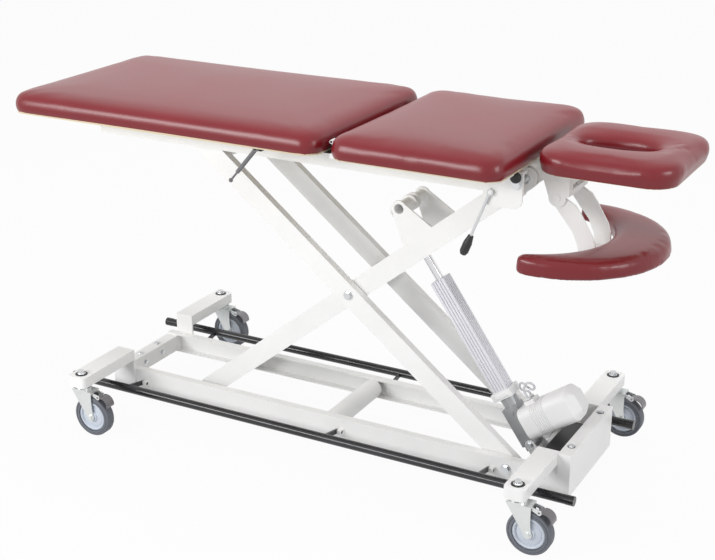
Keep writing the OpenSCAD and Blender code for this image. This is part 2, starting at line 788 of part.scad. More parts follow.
motor_s = 58;
vent_shares = [0.12, 0.17, 0.22, 0.27, 0.32, 0.37];
vent_d = 2;
vent_w = 3;
end_chamfer = 16;
plug_h = 22;
plug_w = 34;
plug_s = motor_s + motor_r - plug_h / 2;
module motor_housing() {
    color("whitesmoke") at_actuator() {
        translate([motor_s, 0, -gear_high]) rotate([180, 0, 0]) rotate_extrude() difference() {
            polygon([
                [0, 0], [motor_r, 0], [motor_r, motor_len - end_chamfer],
                [motor_r - end_chamfer / 3, motor_len - end_chamfer / 3],
                [motor_r - end_chamfer, motor_len], [0, motor_len]
            ]);
            for (s = vent_shares) translate([motor_r - vent_d, s * motor_len]) square([2 * vent_d, vent_w]);
        }
        translate([plug_s, -plug_w / 2, -gear_high - plug_w * 1.7]) cube([plug_h, plug_w, plug_w]);
        translate([plug_s + plug_h - cut, -plug_w / 2, -gear_high - plug_w * 1.4])
            cube([plug_h / 3, plug_w / 3, plug_w / 3]);
        translate([plug_s + plug_h - cut, plug_w / 6, -gear_high - plug_w * 1.4])
            cube([plug_h / 3, plug_w / 3, plug_w / 3]);
    }
}

// The motor's cable: a route in the actuator's frame, from one plug up and round to the other
cable_r = 3.2;
cable_s0 = plug_s + plug_h * 4 / 3 - cut + seat_gap;
cable_m0 = -gear_high - plug_w * 1.23;
cable_route = [
    [0, -11.3, 0], [14, -11.5, 1], [26, -13, -3], [35, -15, -14], [36, -16, -28], [28, -15, -38],
    [19, -12, -33], [19, -7, -21], [26, -1, -10], [36, 5, 0], [41, 9, 10], [36, 11, 19],
    [25, 12, 17], [16.5, 11.7, 7], [9, 11.4, 0.6], [0, 11.3, 0]
];
cable_sub = 4;
function smooth(p, i, t) = let (
    n = len(p) - 1, a = p[max(i - 1, 0)], b = p[i], c = p[min(i + 1, n)], d = p[min(i + 2, n)]
) 0.5 * (2 * b + (c - a) * t + (2 * a - 5 * b + 4 * c - d) * t * t + (3 * b - a - 3 * c + d) * t * t * t);
cable_pts = concat(
    [for (i = [0 : len(cable_route) - 2], k = [0 : cable_sub - 1]) smooth(cable_route, i, k / cable_sub)],
    [cable_route[len(cable_route) - 1]]
);
tube_sides = 8;
function unit(v) = v / norm(v);
function turn(v, d) = let (u = v - (v * d) * d) unit(u);
function frames(p, i, v) = let (
    n = len(p) - 1, d = unit(p[min(i + 1, n)] - p[max(i - 1, 0)]), u = turn(v, d)
) concat([[u, cross(d, u)]], i < n ? frames(p, i + 1, u) : []);
module round_tube(p, r, start) {
    f = frames(p, 0, start);
    polyhedron(
        points = [for (i = [0 : len(p) - 1], k = [0 : tube_sides - 1]) let (a = 360 * k / tube_sides)
            p[i] + r * (cos(a) * f[i][0] + sin(a) * f[i][1])],
        faces = concat(skin(tube_sides, len(p), false), cap_low(tube_sides), cap_high(tube_sides, len(p)))
    );
}
module motor_cable() {
    color("gray") at_actuator() translate([cable_s0, 0, cable_m0]) round_tube(cable_pts, cable_r, [0, 1, 0]);
}

rod_tail = 258;
rod_neck = 46;
rod_flat = 8.4;
rod_eye_r = 13;
rod_pin_r = 5;
rod_washer_r = 18;
rod_washer_t = 3;
rod_pin_y = rod_end_w / 2 + play + lug_t + play;
module actuator_rod() {
    color("silver") at_actuator() {
        translate([rod_reach - rod_tail, 0, 0]) rotate([0, 90, 0])
            cylinder(h = rod_tail - rod_neck, r = rod_r);
        translate([rod_reach - rod_neck - cut, -rod_end_w / 2, -rod_flat])
            cube([rod_neck + cut, rod_end_w, 2 * rod_flat]);
        y_bar(rod_reach, 0, rod_eye_r, -rod_end_w / 2, rod_end_w / 2);
        y_bar(rod_reach, 0, rod_pin_r, -rod_pin_y - 2 * rod_washer_t, rod_pin_y + 2 * rod_washer_t);
        for (s = sides) on_side(s)
            y_bar(rod_reach, 0, rod_washer_r, rod_pin_y, rod_pin_y + rod_washer_t);
    }
}

// Top frame

module top_rails() {
    color("whitesmoke") for (s = sides) on_side(s) difference() {
        c_rail(top_rail_foot_x, top_rail_head_x, top_pin_z);
        y_bar(pin_x, top_pin_z, pin_r + fit, flange_y, rail_y + cut);
    }
}

knuckle_y0 = 188;
knuckle_y1 = 262;
knuckle_w = 20;
bearer_y = 272;
rest_bearer_y = 200;
gas_y = 200;
gas_ahead = 241;
gas_x = leg_hinge_x + gas_ahead;
gas_z = top_rail_z + plate_t * 8 / 3;
gas_eye_w = 10;
gas_pin_r = 3;
ear_y0 = 48;
ear_t = 8;
ear_back = 70;
end_bearer_back = 32;
end_bearer_x = head_hinge_x - end_bearer_back - bearer_w;
rest_shifts = [-560, -300];
module gas_cheeks() {
    for (e = sides) translate([0, gas_y, 0]) on_side(e) y_plate(gas_eye_w / 2 + play, sheet_t) children();
}
module bearer(x, half, h) {
    translate([x, -half, bearer_z]) cube([bearer_w, 2 * half, h]);
}
module top_bearers() {
    full = bearer_t + seat_gap;
    color("whitesmoke") {
        for (d = rest_shifts) bearer(base_x + d, rest_bearer_y, bearer_t);
        bearer(leg_hinge_x, bearer_y, full);
        bearer(gas_x - bearer_w / 2, bearer_y, full);
        bearer(end_bearer_x, bearer_y, full);
        for (s = sides) on_side(s) {
            translate([leg_hinge_x + leaf_t, knuckle_y0, bearer_z])
                cube([leaf_t, knuckle_y1 - knuckle_y0, leg_hinge_z - leg_knuckle_r - play - bearer_z]);
            for (y = [knuckle_y0, knuckle_y1 - knuckle_w]) difference() {
                union() {
                    y_bar(leg_hinge_x, leg_hinge_z, leg_knuckle_r, y, y + knuckle_w);
                    translate([leg_hinge_x + leaf_t, y, leg_hinge_z - 2 * leg_knuckle_r])
                        cube([leaf_t, knuckle_w, 2 * leg_knuckle_r]);
                }
                y_bar(leg_hinge_x, leg_hinge_z, hinge_pin_r + fit, y - cut, y + knuckle_w + cut);
            }
            y_plate(ear_y0, ear_t) difference() {
                union() {
                    translate([head_hinge_x, head_hinge_z]) circle(r = head_eye_r);
                    polygon([
                        [head_hinge_x - ear_back, bearer_z], [head_hinge_x, head_hinge_z - head_eye_r],
                        [head_hinge_x, head_hinge_z + head_eye_r * 0.1],
                        [head_hinge_x - head_eye_r, board_z], [head_hinge_x - ear_back, board_z]
                    ]);
                }
                translate([head_hinge_x, head_hinge_z]) circle(r = head_pin_r + fit);
            }
        }
        gas_cheeks() {
            translate([gas_x, gas_z]) circle(r = gas_eye_w);
            translate([gas_x - gas_eye_w, gas_z]) square([2 * gas_eye_w, bearer_z - gas_z + cut]);
        }
        y_bar(gas_x, gas_z, gas_pin_r, gas_y - gas_eye_w, gas_y + gas_eye_w);
    }
}

module top_pivot_pins() {
    color("silver") for (s = sides) on_side(s) {
        y_bar(pin_x, top_pin_z, pin_r, inner_y - arm_t - play, rail_y + plate_t + cut);
        y_bar(pin_x, top_pin_z, 1.5 * pin_r, inner_y + play, inner_y + 3 * arm_gap);
        translate([pin_x, rail_y + plate_t, top_pin_z]) rotate([-90, 0, 0]) hex_head(1.4 * pin_r, pin_r);
    }
}

end_plate_back = 93;
end_plate_deep = 36;
end_plate_round = 24;
lever_dx = 70;
lever_dz = 28;
lever_pin_r = 5;
lever_hub_r = 9;
lever_hub_w = 10;
module frame_end_plates() {
    x0 = pin_x - end_plate_back;
    x1 = top_rail_head_x;
    z0 = top_rail_z - end_plate_deep;
    color("whitesmoke") for (s = sides) on_side(s) y_plate(rail_y, plate_t) difference() {
        union() {
            translate([x0, z0 + end_plate_round]) square([x1 - x0, bearer_z - z0 - end_plate_round]);
            translate([x0 + end_plate_round, z0])
                square([x1 - x0 - 2 * end_plate_round, 2 * end_plate_round]);
            for (x = [x0 + end_plate_round, x1 - end_plate_round])
                translate([x, z0 + end_plate_round]) circle(r = end_plate_round);
        }
        translate([pin_x, top_pin_z]) circle(r = pin_r + fit);
    }
    color("whitesmoke") y_bar(pin_x - lever_dx, top_pin_z - lever_dz, lever_pin_r,
        -rail_y - plate_t - lever_hub_w - 2 * play, -rail_y - plate_t + cut);
}

module board(x, pad_len, pad_w, r) {
    len = pad_len - 2 * board_inset;
    w = pad_w - 2 * board_inset;
    translate([x, 0, board_z]) linear_extrude(height = board_t) {
        square([len, w - 2 * r], center = true);
        square([len - 2 * r, w], center = true);
        for (e = ends, s = sides) translate([e * (len / 2 - r), s * (w / 2 - r)]) circle(r = r);
    }
}
board_corner = pad_corner - board_inset;
module mid_board() {
    color("tan") board(mid_pad_x + mid_len / 2, mid_len, top_w, board_corner);
}
module mid_pad() {
    color("maroon") translate([mid_pad_x + mid_len / 2, 0, pad_z])
        cushion(mid_len, top_w, pad_t, pad_corner, pad_crown, pad_draw);
}
module leg_board() {
    color("tan") board(foot_x + leg_len / 2, leg_len, top_w, board_corner);
}
module leg_pad() {
    color("maroon") translate([foot_x + leg_len / 2, 0, pad_z])
        cushion(leg_len, top_w, pad_t, pad_corner, pad_crown, pad_draw);
}

// The leg section's hinge leaves with the gas spring's lug, and the clamp of the release lever
leaf_len = 76;
lug_back = 24;
lug_rise = 15;
gas_lug_hole_r = 4.8;
gas_lug_r = 9;
clamp_back = 229;
clamp_y = 250;
clamp_w = 24;
clamp_h = 25;
clamp_pin_r = 3;
leg_lever_hub_r = 8;
leg_lever_hub_w = 12;
gas_lug_x = leg_hinge_x - lug_back;
gas_lug_z = gas_z + lug_rise;
clamp_x = leg_hinge_x - clamp_back;
clamp_pin_z = board_z - clamp_h + leg_lever_hub_r;
module leg_hardware() {
    y0 = knuckle_y0 + knuckle_w + seat_gap;
    y1 = knuckle_y1 - knuckle_w - seat_gap;
    x1 = leg_hinge_x - leaf_t;
    color("dimgray") {
        for (s = sides) on_side(s) {
            y_bar(leg_hinge_x, leg_hinge_z, leg_knuckle_r, y0, y1);
            y_bar(leg_hinge_x, leg_hinge_z, hinge_pin_r, knuckle_y0 - cut, knuckle_y1 + cut);
            translate([x1 - leaf_t, y0, board_z - leaf_t])
                cube([leaf_t, y1 - y0, leg_hinge_z - board_z + leaf_t]);
            translate([x1 - leaf_t, y0, leg_hinge_z - leg_knuckle_r])
                cube([2 * leaf_t, y1 - y0, leg_knuckle_r]);
            translate([x1 - leaf_len, knuckle_y0, board_z - leaf_t])
                cube([leaf_len, knuckle_y1 - knuckle_y0, leaf_t]);
        }
        gas_cheeks() difference() {
            union() {
                translate([gas_lug_x, gas_lug_z]) circle(r = gas_lug_r);
                translate([gas_lug_x - gas_lug_r, gas_lug_z]) square([2 * gas_lug_r, board_z - gas_lug_z]);
            }
            translate([gas_lug_x, gas_lug_z]) circle(r = gas_lug_hole_r);
        }
        translate([clamp_x - clamp_w / 2, -clamp_y - clamp_w / 2, board_z - clamp_h])
            cube([clamp_w, clamp_w, clamp_h]);
        y_bar(clamp_x, clamp_pin_z, clamp_pin_r,
            -clamp_y - clamp_w / 2 - leg_lever_hub_w - 3 * play, -clamp_y);
    }
}

// The gas spring lies between its pin on the frame and the lug of the leg section
gas_lost_x = -0.81;
gas_lost_z = -1.13;
gas_dx = gas_lug_x + gas_lost_x - gas_x;
gas_dz = gas_lug_z + gas_lost_z - gas_z;
gas_reach = norm([gas_dx, gas_dz]);
gas_angle = atan2(gas_dz, gas_dx);
gas_r = 11;
gas_len = 180;
gas_back = 15;
gas_rod_r = 5;
gas_rod_tail = 140;
module at_gas() {
    translate([gas_x, gas_y, gas_z]) rotate([0, -gas_angle, 0]) children();
}
module gas_spring_cylinder() {
    color("dimgray") at_gas() {
        difference() {
            union() {
                y_bar(0, 0, gas_eye_w * 0.8, -gas_eye_w / 2, gas_eye_w / 2);
                translate([0, -gas_rod_r, -gas_rod_r]) cube([gas_back + cut, 2 * gas_rod_r, 2 * gas_rod_r]);
            }
            y_bar(0, 0, gas_pin_r + fit, -gas_eye_w, gas_eye_w);
        }
        translate([gas_back, 0, 0]) rotate([0, 90, 0]) difference() {
            cylinder(h = gas_len, r = gas_r);
            translate([0, 0, gas_back]) cylinder(h = gas_len, r = gas_rod_r + fit);
        }
    }
}
module gas_spring_rod() {
    color("silver") at_gas() {
        translate([gas_reach - gas_rod_tail, 0, 0]) rotate([0, 90, 0])
            cylinder(h = gas_rod_tail - gas_rod_r, r = gas_rod_r);
        y_bar(gas_reach, 0, gas_eye_w * 0.7, -gas_eye_w / 2, gas_eye_w / 2);
        y_bar(gas_reach, 0, gas_pin_r, -gas_eye_w - play, gas_eye_w + play);
    }
}

leg_lever_dx = -63;
leg_lever_dz = -74;
leg_lever_r = 7;
leg_lever_rod_r = 3;
leg_lever_rod_len = 36;
leg_lever_ball_r = 6;
module leg_release_lever() {
    span = norm([leg_lever_dx, leg_lever_dz]);
    y = -clamp_y - clamp_w / 2 - play - leg_lever_hub_w / 2;
    color("gray") translate([clamp_x, 0, clamp_pin_z]) rotate([0, -atan2(leg_lever_dz, leg_lever_dx), 0]) {
        difference() {
            union() {
                y_bar(0, 0, leg_lever_hub_r, y - leg_lever_hub_w / 2, y + leg_lever_hub_w / 2);
                translate([0, y, 0]) rotate([0, 90, 0]) cylinder(h = span, r = leg_lever_hub_w / 2);
            }
            y_bar(0, 0, clamp_pin_r + fit, y - leg_lever_hub_w, y + leg_lever_hub_w);
        }
        translate([span - cut, y, 0]) rotate([0, 90, 0])
            cylinder(h = leg_lever_rod_len, r = leg_lever_rod_r);
        translate([span - cut + leg_lever_rod_len, y, 0]) sphere(r = leg_lever_ball_r);
    }
}

// Head section

head_corner = 84;
head_x = head_pad_x + head_len / 2;
hole_shift = -16;
hole_rx = 100;
hole_ry = 52;
hole_shares = [[0.42, 0.945], [0.22, 0.88], [0.08, 0.74], [0, 0.52], [0.02, 0.27], [0.08, 0.1], [0.2, 0]];
function hole_ring(base, d) = [
    for (p = base) let (a = atan2(p[1] / head_w, p[0] / head_len))
        [hole_shift + (hole_rx + d) * cos(a), (hole_ry + d) * sin(a)]
];
module head_cushion() {
    a = head_len / 2;
    b = head_w / 2;
    h = pad_t - pad_crown;
    base = outline(a, b, head_corner, pad_draw);
    outer = [for (s = roll_shares) [for (p = outline(a - s[0] * pad_t, b - s[0] * pad_t,
        head_corner - s[0] * pad_t, pad_draw)) [p[0], p[1], s[1] * h]]];
    inner = [for (s = hole_shares) [for (p = hole_ring(base, s[0] * pad_t)) [p[0], p[1], s[1] * h]]];
    middle = [for (i = [0 : len(base) - 1]) [
        (outer[6][i][0] + inner[0][i][0]) / 2, (outer[6][i][1] + inner[0][i][1]) / 2, h
    ]];
    rings = concat(outer, [middle], inner);
    polyhedron(
        points = [for (ring = rings) each ring],
        faces = skin(len(base), len(rings), true)
    );
}
module head_pad() {
    color("maroon") translate([head_x, 0, pad_z]) head_cushion();
}
board_hole_grow = 16;
module head_board() {
    r = head_corner - board_inset;
    color("tan") difference() {
        board(head_x, head_len, head_w, r);
        translate([head_x + hole_shift, 0, board_z - cut]) linear_extrude(height = board_t + 2 * cut) {
            square([2 * (hole_rx - hole_ry), 2 * (hole_ry + board_hole_grow)], center = true);
            for (e = ends) translate([e * (hole_rx - hole_ry), 0]) circle(r = hole_ry + board_hole_grow);
        }
    }
}

plate_y = head_span / 2;
rest_x = head_hinge_x + rest_pivot_x;
rest_z = head_hinge_z - rest_pivot_h;
rest_pin_r = 6;
rest_boss_r = 24;
web_dx = 76;
bracket_flange_w = 28;
web_slot_w = 90;
web_slot_h = 14;
module head_bracket() {
    web_x = head_hinge_x + web_dx;
    web_z = rest_z + head_pin_r;
    color("whitesmoke") {
        for (s = sides) on_side(s) {
            y_plate(plate_y - plate_t, plate_t) difference() {
                union() {
                    translate([head_hinge_x, head_hinge_z]) circle(r = head_eye_r);
                    translate([rest_x, rest_z]) circle(r = rest_boss_r);
                    polygon([
                        [head_hinge_x - head_eye_r, head_hinge_z],
                        [head_hinge_x + 1.7 * head_eye_r, board_z],
                        [web_x, board_z], [web_x, rest_z + rest_boss_r / 2],
                        [rest_x, rest_z - rest_boss_r * 0.4], [rest_x - rest_boss_r * 0.98, rest_z]
                    ]);
                }
            }
            y_bar(head_hinge_x, head_hinge_z, head_pin_r + fork_t, ear_y0 + ear_t + play, plate_y - cut);
            y_bar(head_hinge_x, head_hinge_z, head_pin_r + fork_t, plate_y - cut, plate_y + fork_t);
            y_bar(rest_x, rest_z, rest_pin_r + fork_t, plate_y - cut, plate_y + fork_t);
        }
        y_bar(head_hinge_x, head_hinge_z, head_pin_r, cut - plate_y, plate_y - cut);
        y_bar(rest_x, rest_z, rest_pin_r, cut - plate_y, plate_y - cut);
        difference() {
            translate([web_x - plate_t, cut - plate_y, web_z])
                cube([plate_t, 2 * plate_y - 2 * cut, board_z - web_z]);
            translate([web_x - 2 * plate_t, -web_slot_w / 2, web_z + web_slot_h])
                cube([3 * plate_t, web_slot_w, web_slot_h]);
        }
        for (s = sides) on_side(s)
            translate([head_hinge_x + 1.7 * head_eye_r, plate_y - cut, board_z - sheet_t])
                cube([web_dx - 1.7 * head_eye_r + head_len * 0.35, bracket_flange_w + cut, sheet_t]);
    }
}

// Arm rest: two arms under the head bracket carry a plate and a crescent-shaped cushion
rest_arm_y = plate_y - plate_t - fit * 8;
rest_arm_t = 5.6;
rest_top_z = top_z - rest_drop;
rest_pad_z = rest_top_z - rest_t;
rest_board_t = 8;
rest_plate_z = rest_pad_z - rest_board_t - plate_t;
rest_eye_r = 22;
rest_foot_dx = 72;
rest_foot_w = 28;
rest_plate_len = 150;
rest_cx = 16;
inner_shift = 131;
inner_r = 237;
rest_steps = 16;
rest_sweep = 96;
inner_sweep = 65;
rest_tip_angles = [78, 52, 26];
rest_sides = 14;
function power(v, p) = sign(v) * pow(abs(v), p);
function rest_mid(t) = let (cx = rest_x + rest_cx) [
    [cx + rest_r * cos(rest_sweep * t), rest_r * sin(rest_sweep * t)],
    [cx - inner_shift + inner_r * cos(inner_sweep * t), inner_r * sin(inner_sweep * t)]
];
function rest_section(t, slip, grow, inset, z0, h) = let (
    m = rest_mid(t), c = (m[0] + m[1]) / 2, u = unit(m[0] - m[1]),
    hw = norm(m[0] - m[1]) / 2 - inset, w = [-u[1], u[0]]
) [for (k = [0 : rest_sides - 1]) let (
    a = 360 * k / rest_sides, q = hw * grow * power(sin(a), 0.6), s = slip * hw,
    z = h / 2 * pow(grow, 0.4) * power(cos(a), 0.55)
) [c[0] + u[0] * q + w[0] * s, c[1] + u[1] * q + w[1] * s, z0 + h / 2 + z]];
module crescent(inset, z0, h) {
    sections = concat(
        [for (b = rest_tip_angles) rest_section(-1, -sin(b), cos(b), inset, z0, h)],
        [for (i = [-rest_steps : rest_steps]) rest_section(i / rest_steps, 0, 1, inset, z0, h)],
        [for (k = [2 : -1 : 0]) let (b = rest_tip_angles[k]) rest_section(1, sin(b), cos(b), inset, z0, h)]
    );
    n = rest_sides;
    polyhedron(
        points = [for (ring = sections) each ring],
        faces = concat(skin(n, len(sections), false), cap_low(n), cap_high(n, len(sections)))
    );
}
module armrest_pad() {
    color("maroon") crescent(0, rest_pad_z, rest_t);
}
module armrest_frame() {
    foot_xx = rest_x + rest_foot_dx;
    color("whitesmoke") {
        for (s = sides) on_side(s) y_plate(rest_arm_y - rest_arm_t, rest_arm_t) difference() {
            union() {
                translate([rest_x, rest_z]) circle(r = rest_eye_r);
                polygon([
                    [rest_x - rest_eye_r, rest_z], [foot_xx - rest_foot_w / 2, rest_plate_z],
                    [foot_xx + rest_foot_w / 2, rest_plate_z], [rest_x + rest_eye_r, rest_z]
                ]);
            }
            translate([rest_x, rest_z]) circle(r = rest_pin_r + fit);
        }
        translate([foot_xx - rest_foot_w / 2 + plate_t, -rest_arm_y, rest_plate_z])
            cube([rest_plate_len, 2 * rest_arm_y, plate_t]);
        rest_board();
    }
}
module rest_board() {
    cx = rest_x + rest_cx;
    n = 24;
    grow = board_inset / 2;
    translate([0, 0, rest_plate_z + plate_t]) linear_extrude(height = rest_board_t) polygon(concat(
        [for (i = [-n : n]) let (a = (rest_sweep - 8) * i / n)
            [cx + (rest_r - grow) * cos(a), (rest_r - grow) * sin(a)]],
        [for (i = [n : -1 : -n]) let (a = (inner_sweep - 5) * i / n)
            [cx - inner_shift + (inner_r + grow) * cos(a), (inner_r + grow) * sin(a)]]
    ));
}

// The lever that lets the head section down, on the near end plate of the frame
head_lever_dx = -72;
head_lever_dz = -181;
head_lever_r = 4;
grip_len = 58;
grip_r = 12;
grip_hold = 20;
grip_waist = 0.78;
module at_head_lever() {
    translate([pin_x - lever_dx, -rail_y - plate_t - play - lever_hub_w / 2, top_pin_z - lever_dz])
        rotate([0, 90 - atan2(head_lever_dz, head_lever_dx), 0]) children();
}
module head_lever() {
    span = norm([head_lever_dx, head_lever_dz]);
    color("silver") at_head_lever() difference() {
        union() {
            y_bar(0, 0, lever_hub_r, -lever_hub_w / 2, lever_hub_w / 2);
            cylinder(h = span - grip_len + grip_hold, r = head_lever_r);
        }
        y_bar(0, 0, lever_pin_r + fit, -lever_hub_w, lever_hub_w);
    }
}
module head_lever_grip() {
    span = norm([head_lever_dx, head_lever_dz]);
    color("darkslategray") at_head_lever() translate([0, 0, span - grip_len]) difference() {
        union() {
            cylinder(h = grip_len * 0.4, r1 = grip_r * grip_waist * 0.8, r2 = grip_r);
            translate([0, 0, grip_len * 0.4 - fit]) cylinder(h = grip_len * 0.45 + fit, r = grip_r);
            translate([0, 0, grip_len * 0.85 - fit])
                cylinder(h = grip_len * 0.15, r1 = grip_r, r2 = grip_r * 0.7);
        }
        translate([0, 0, -cut]) cylinder(h = grip_hold + cut, r = head_lever_r + fit);
    }
}

base_rails();
base_rail_flanges();
head_end_box();
base_cross_members();
outriggers();
actuator_clevis();
base_hardware();
control_box();
switch_bar_near();
switch_bar_far();
fork_foot_near();
fork_foot_far();
fork_head_near();
fork_head_far();
tyre_foot_near();
tyre_foot_far();
tyre_head_near();
tyre_head_far();
hub_foot_near();
hub_foot_far();
hub_head_near();
hub_head_far();
brake_foot_near();
brake_foot_far();
brake_head_near();
brake_head_far();
outer_arm_near();
outer_arm_far();
outer_cross_tube();
scissor_pivot_bolts();
inner_arm_near();
inner_arm_far();
inner_cross_tube();
base_roller_shaft();
top_roller_shaft();
actuator_tube();
actuator_gearbox();
actuator_collar();
motor_housing();
motor_cable();
actuator_rod();
top_rails();
top_bearers();
top_pivot_pins();
frame_end_plates();
mid_board();
mid_pad();
leg_board();
leg_pad();
leg_hardware();
gas_spring_cylinder();
gas_spring_rod();
leg_release_lever();
head_board();
head_pad();
head_bracket();
armrest_frame();
armrest_pad();
head_lever();
head_lever_grip();
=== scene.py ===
import json
import math

import bmesh
import bpy
from mathutils import Matrix, Vector


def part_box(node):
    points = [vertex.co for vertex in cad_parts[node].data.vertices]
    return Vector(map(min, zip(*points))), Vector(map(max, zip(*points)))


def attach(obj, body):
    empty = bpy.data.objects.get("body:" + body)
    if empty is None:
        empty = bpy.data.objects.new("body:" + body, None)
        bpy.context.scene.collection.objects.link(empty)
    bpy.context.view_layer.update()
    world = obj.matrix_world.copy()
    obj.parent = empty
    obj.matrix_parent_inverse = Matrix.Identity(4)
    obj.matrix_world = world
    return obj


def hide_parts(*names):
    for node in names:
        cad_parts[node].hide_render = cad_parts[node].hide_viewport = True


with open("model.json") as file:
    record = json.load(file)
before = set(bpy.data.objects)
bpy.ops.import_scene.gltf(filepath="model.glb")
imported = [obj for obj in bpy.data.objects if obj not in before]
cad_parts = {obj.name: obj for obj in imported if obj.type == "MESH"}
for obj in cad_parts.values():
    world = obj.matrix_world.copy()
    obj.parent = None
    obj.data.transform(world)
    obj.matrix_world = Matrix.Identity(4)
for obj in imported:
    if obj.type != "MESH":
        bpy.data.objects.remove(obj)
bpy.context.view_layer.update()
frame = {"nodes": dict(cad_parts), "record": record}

# ---- Camera, floor and studio light ----
# The table stands on a plain pale floor. The camera looks down at it from the head end's near side,
# at the photograph's angle. Two soft boxes and a pale world light it evenly.
camera = bpy.data.objects.new("Camera", bpy.data.cameras.new("Camera"))
camera.data.sensor_width = 36
camera.data.lens = 69.43
camera.location = (1.8056, -3.3118, 1.939)
camera.rotation_euler = (math.radians(90 - 20.9), 0, math.radians(28.4))
camera.data.clip_end = 100
bpy.context.scene.collection.objects.link(camera)
bpy.context.scene.camera = camera



def seen_directly_or_mirrored(nodes, links):
    """1 for what the camera sees straight, in a mirror or through glass, and 0 for the light it sheds."""
    rays = nodes.new("ShaderNodeLightPath")
    seen = nodes.new("ShaderNodeMath")
    seen.operation = "MAXIMUM"
    seen_more = nodes.new("ShaderNodeMath")
    seen_more.operation = "MAXIMUM"
    links.new(rays.outputs["Is Camera Ray"], seen.inputs[0])
    links.new(rays.outputs["Is Glossy Ray"], seen.inputs[1])
    links.new(seen.outputs[0], seen_more.inputs[0])
    links.new(rays.outputs["Is Transmission Ray"], seen_more.inputs[1])
    return seen_more.outputs[0]


world = bpy.data.worlds.new("Studio")
world.use_nodes = True
bpy.context.scene.world = world
w = world.node_tree.nodes
wl = world.node_tree.links
w.clear()
lit = w.new("ShaderNodeBackground")
lit.inputs["Color"].default_value = (0.985, 0.99, 1.0, 1)
lit.inputs["Strength"].default_value = 0.55
shown = w.new("ShaderNodeBackground")
shown.inputs["Color"].default_value = (1, 1, 1, 1)
shown.inputs["Strength"].default_value = 1.0
pick = w.new("ShaderNodeMixShader")
out = w.new("ShaderNodeOutputWorld")
wl.new(seen_directly_or_mirrored(w, wl), pick.inputs[0])
wl.new(lit.outputs[0], pick.inputs[1])
wl.new(shown.outputs[0], pick.inputs[2])
wl.new(pick.outputs[0], out.inputs["Surface"])

floor_mesh = bpy.data.meshes.new("Floor")
bm = bmesh.new()
bmesh.ops.create_grid(bm, x_segments=1, y_segments=1, size=30)
bm.to_mesh(floor_mesh)
bm.free()
floor = bpy.data.objects.new("Floor", floor_mesh)
bpy.context.scene.collection.objects.link(floor)
floor_finish = bpy.data.materials.new("Pale floor")
floor_finish.use_nodes = True
n = floor_finish.node_tree.nodes
l = floor_finish.node_tree.links
n["Principled BSDF"].inputs["Base Color"].default_value = (0.6, 0.6, 0.6, 1)
n["Principled BSDF"].inputs["Roughness"].default_value = 0.7
n["Principled BSDF"].inputs["Specular IOR Level"].default_value = 0.1
glow = n.new("ShaderNodeEmission")
glow.inputs["Color"].default_value = (1, 1, 1, 1)
glow.inputs["Strength"].default_value = 1.0
share = n.new("ShaderNodeMath")
share.operation = "MULTIPLY"
share.inputs[1].default_value = 0.95
mix = n.new("ShaderNodeMixShader")
l.new(seen_directly_or_mirrored(n, l), share.inputs[0])
l.new(share.outputs[0], mix.inputs[0])
l.new(n["Principled BSDF"].outputs[0], mix.inputs[1])
l.new(glow.outputs[0], mix.inputs[2])
l.new(mix.outputs[0], n["Material Output"].inputs["Surface"])
floor.data.materials.append(floor_finish)

# name, place, aim, size in metres, power in watts, and whether it shows in glossy surfaces
for name, place, aim, size, power, mirrored in (
    ("Key soft box", (-1.9, -3.7, 2.0), (0, 0, 0.8), (3.0, 1.0), 104, True),
    ("Head end soft box", (4.2, -0.9, 2.1), (0.3, 0, 0.6), (1.6, 1.2), 42, True),
    ("Overhead soft box", (0.0, 0.5, 4.2), (0, 0, 0.6), (3.6, 2.6), 74, False),
):
    lamp = bpy.data.lights.new(name, "AREA")
    lamp.shape = "RECTANGLE"
    lamp.size, lamp.size_y = size
    lamp.energy = power
    soft_box = bpy.data.objects.new(name, lamp)
    soft_box.location = place
    soft_box.rotation_euler = (Vector(aim) - Vector(place)).to_track_quat("-Z", "Y").to_euler()
    soft_box.visible_glossy = mirrored
    bpy.context.scene.collection.objects.link(soft_box)

bpy.context.scene.view_settings.view_transform = "Standard"

# ---- Vinyl upholstery ----
# Foam cushions on plywood boards are covered with glossy burgundy vinyl, pulled tight and stapled below.
# The grain is a fine pebble emboss, and the colour varies a little where hands and knees polish it.
grain = bpy.data.node_groups.new("Pebble grain", "ShaderNodeTree")
for way, label, kind, value in (
    ("INPUT", "Colour", "NodeSocketColor", (0.2, 0.01, 0.03, 1)),
    ("INPUT", "Worn colour", "NodeSocketColor", (0.3, 0.02, 0.05, 1)),
    ("INPUT", "Pebble size", "NodeSocketFloat", 900.0),
    ("INPUT", "Base roughness", "NodeSocketFloat", 0.3),
    ("OUTPUT", "Colour", "NodeSocketColor", None),
    ("OUTPUT", "Roughness", "NodeSocketFloat", None),
    ("OUTPUT", "Height", "NodeSocketFloat", None),
):
    made = grain.interface.new_socket(label, in_out=way, socket_type=kind)
    if value is not None:
        made.default_value = value
g = grain.nodes
gl = grain.links
g_in = g.new("NodeGroupInput")
g_out = g.new("NodeGroupOutput")
spot = g.new("ShaderNodeTexCoord")
pebbles = g.new("ShaderNodeTexVoronoi")
pebbles.feature = "SMOOTH_F1"
pebbles.inputs["Smoothness"].default_value = 0.6
patches = g.new("ShaderNodeTexNoise")
patches.inputs["Scale"].default_value = 3.5
patches.inputs["Detail"].default_value = 3
fine = g.new("ShaderNodeTexNoise")
fine.inputs["Scale"].default_value = 260
fine.inputs["Detail"].default_value = 2
ramp = g.new("ShaderNodeMapRange")
ramp.inputs["From Min"].default_value = 0.35
ramp.inputs["From Max"].default_value = 0.7
tone = g.new("ShaderNodeMix")
tone.data_type = "RGBA"
rough = g.new("ShaderNodeMath")
rough.operation = "MULTIPLY_ADD"
rough.inputs[1].default_value = 0.1
both = g.new("ShaderNodeMath")
both.operation = "ADD"
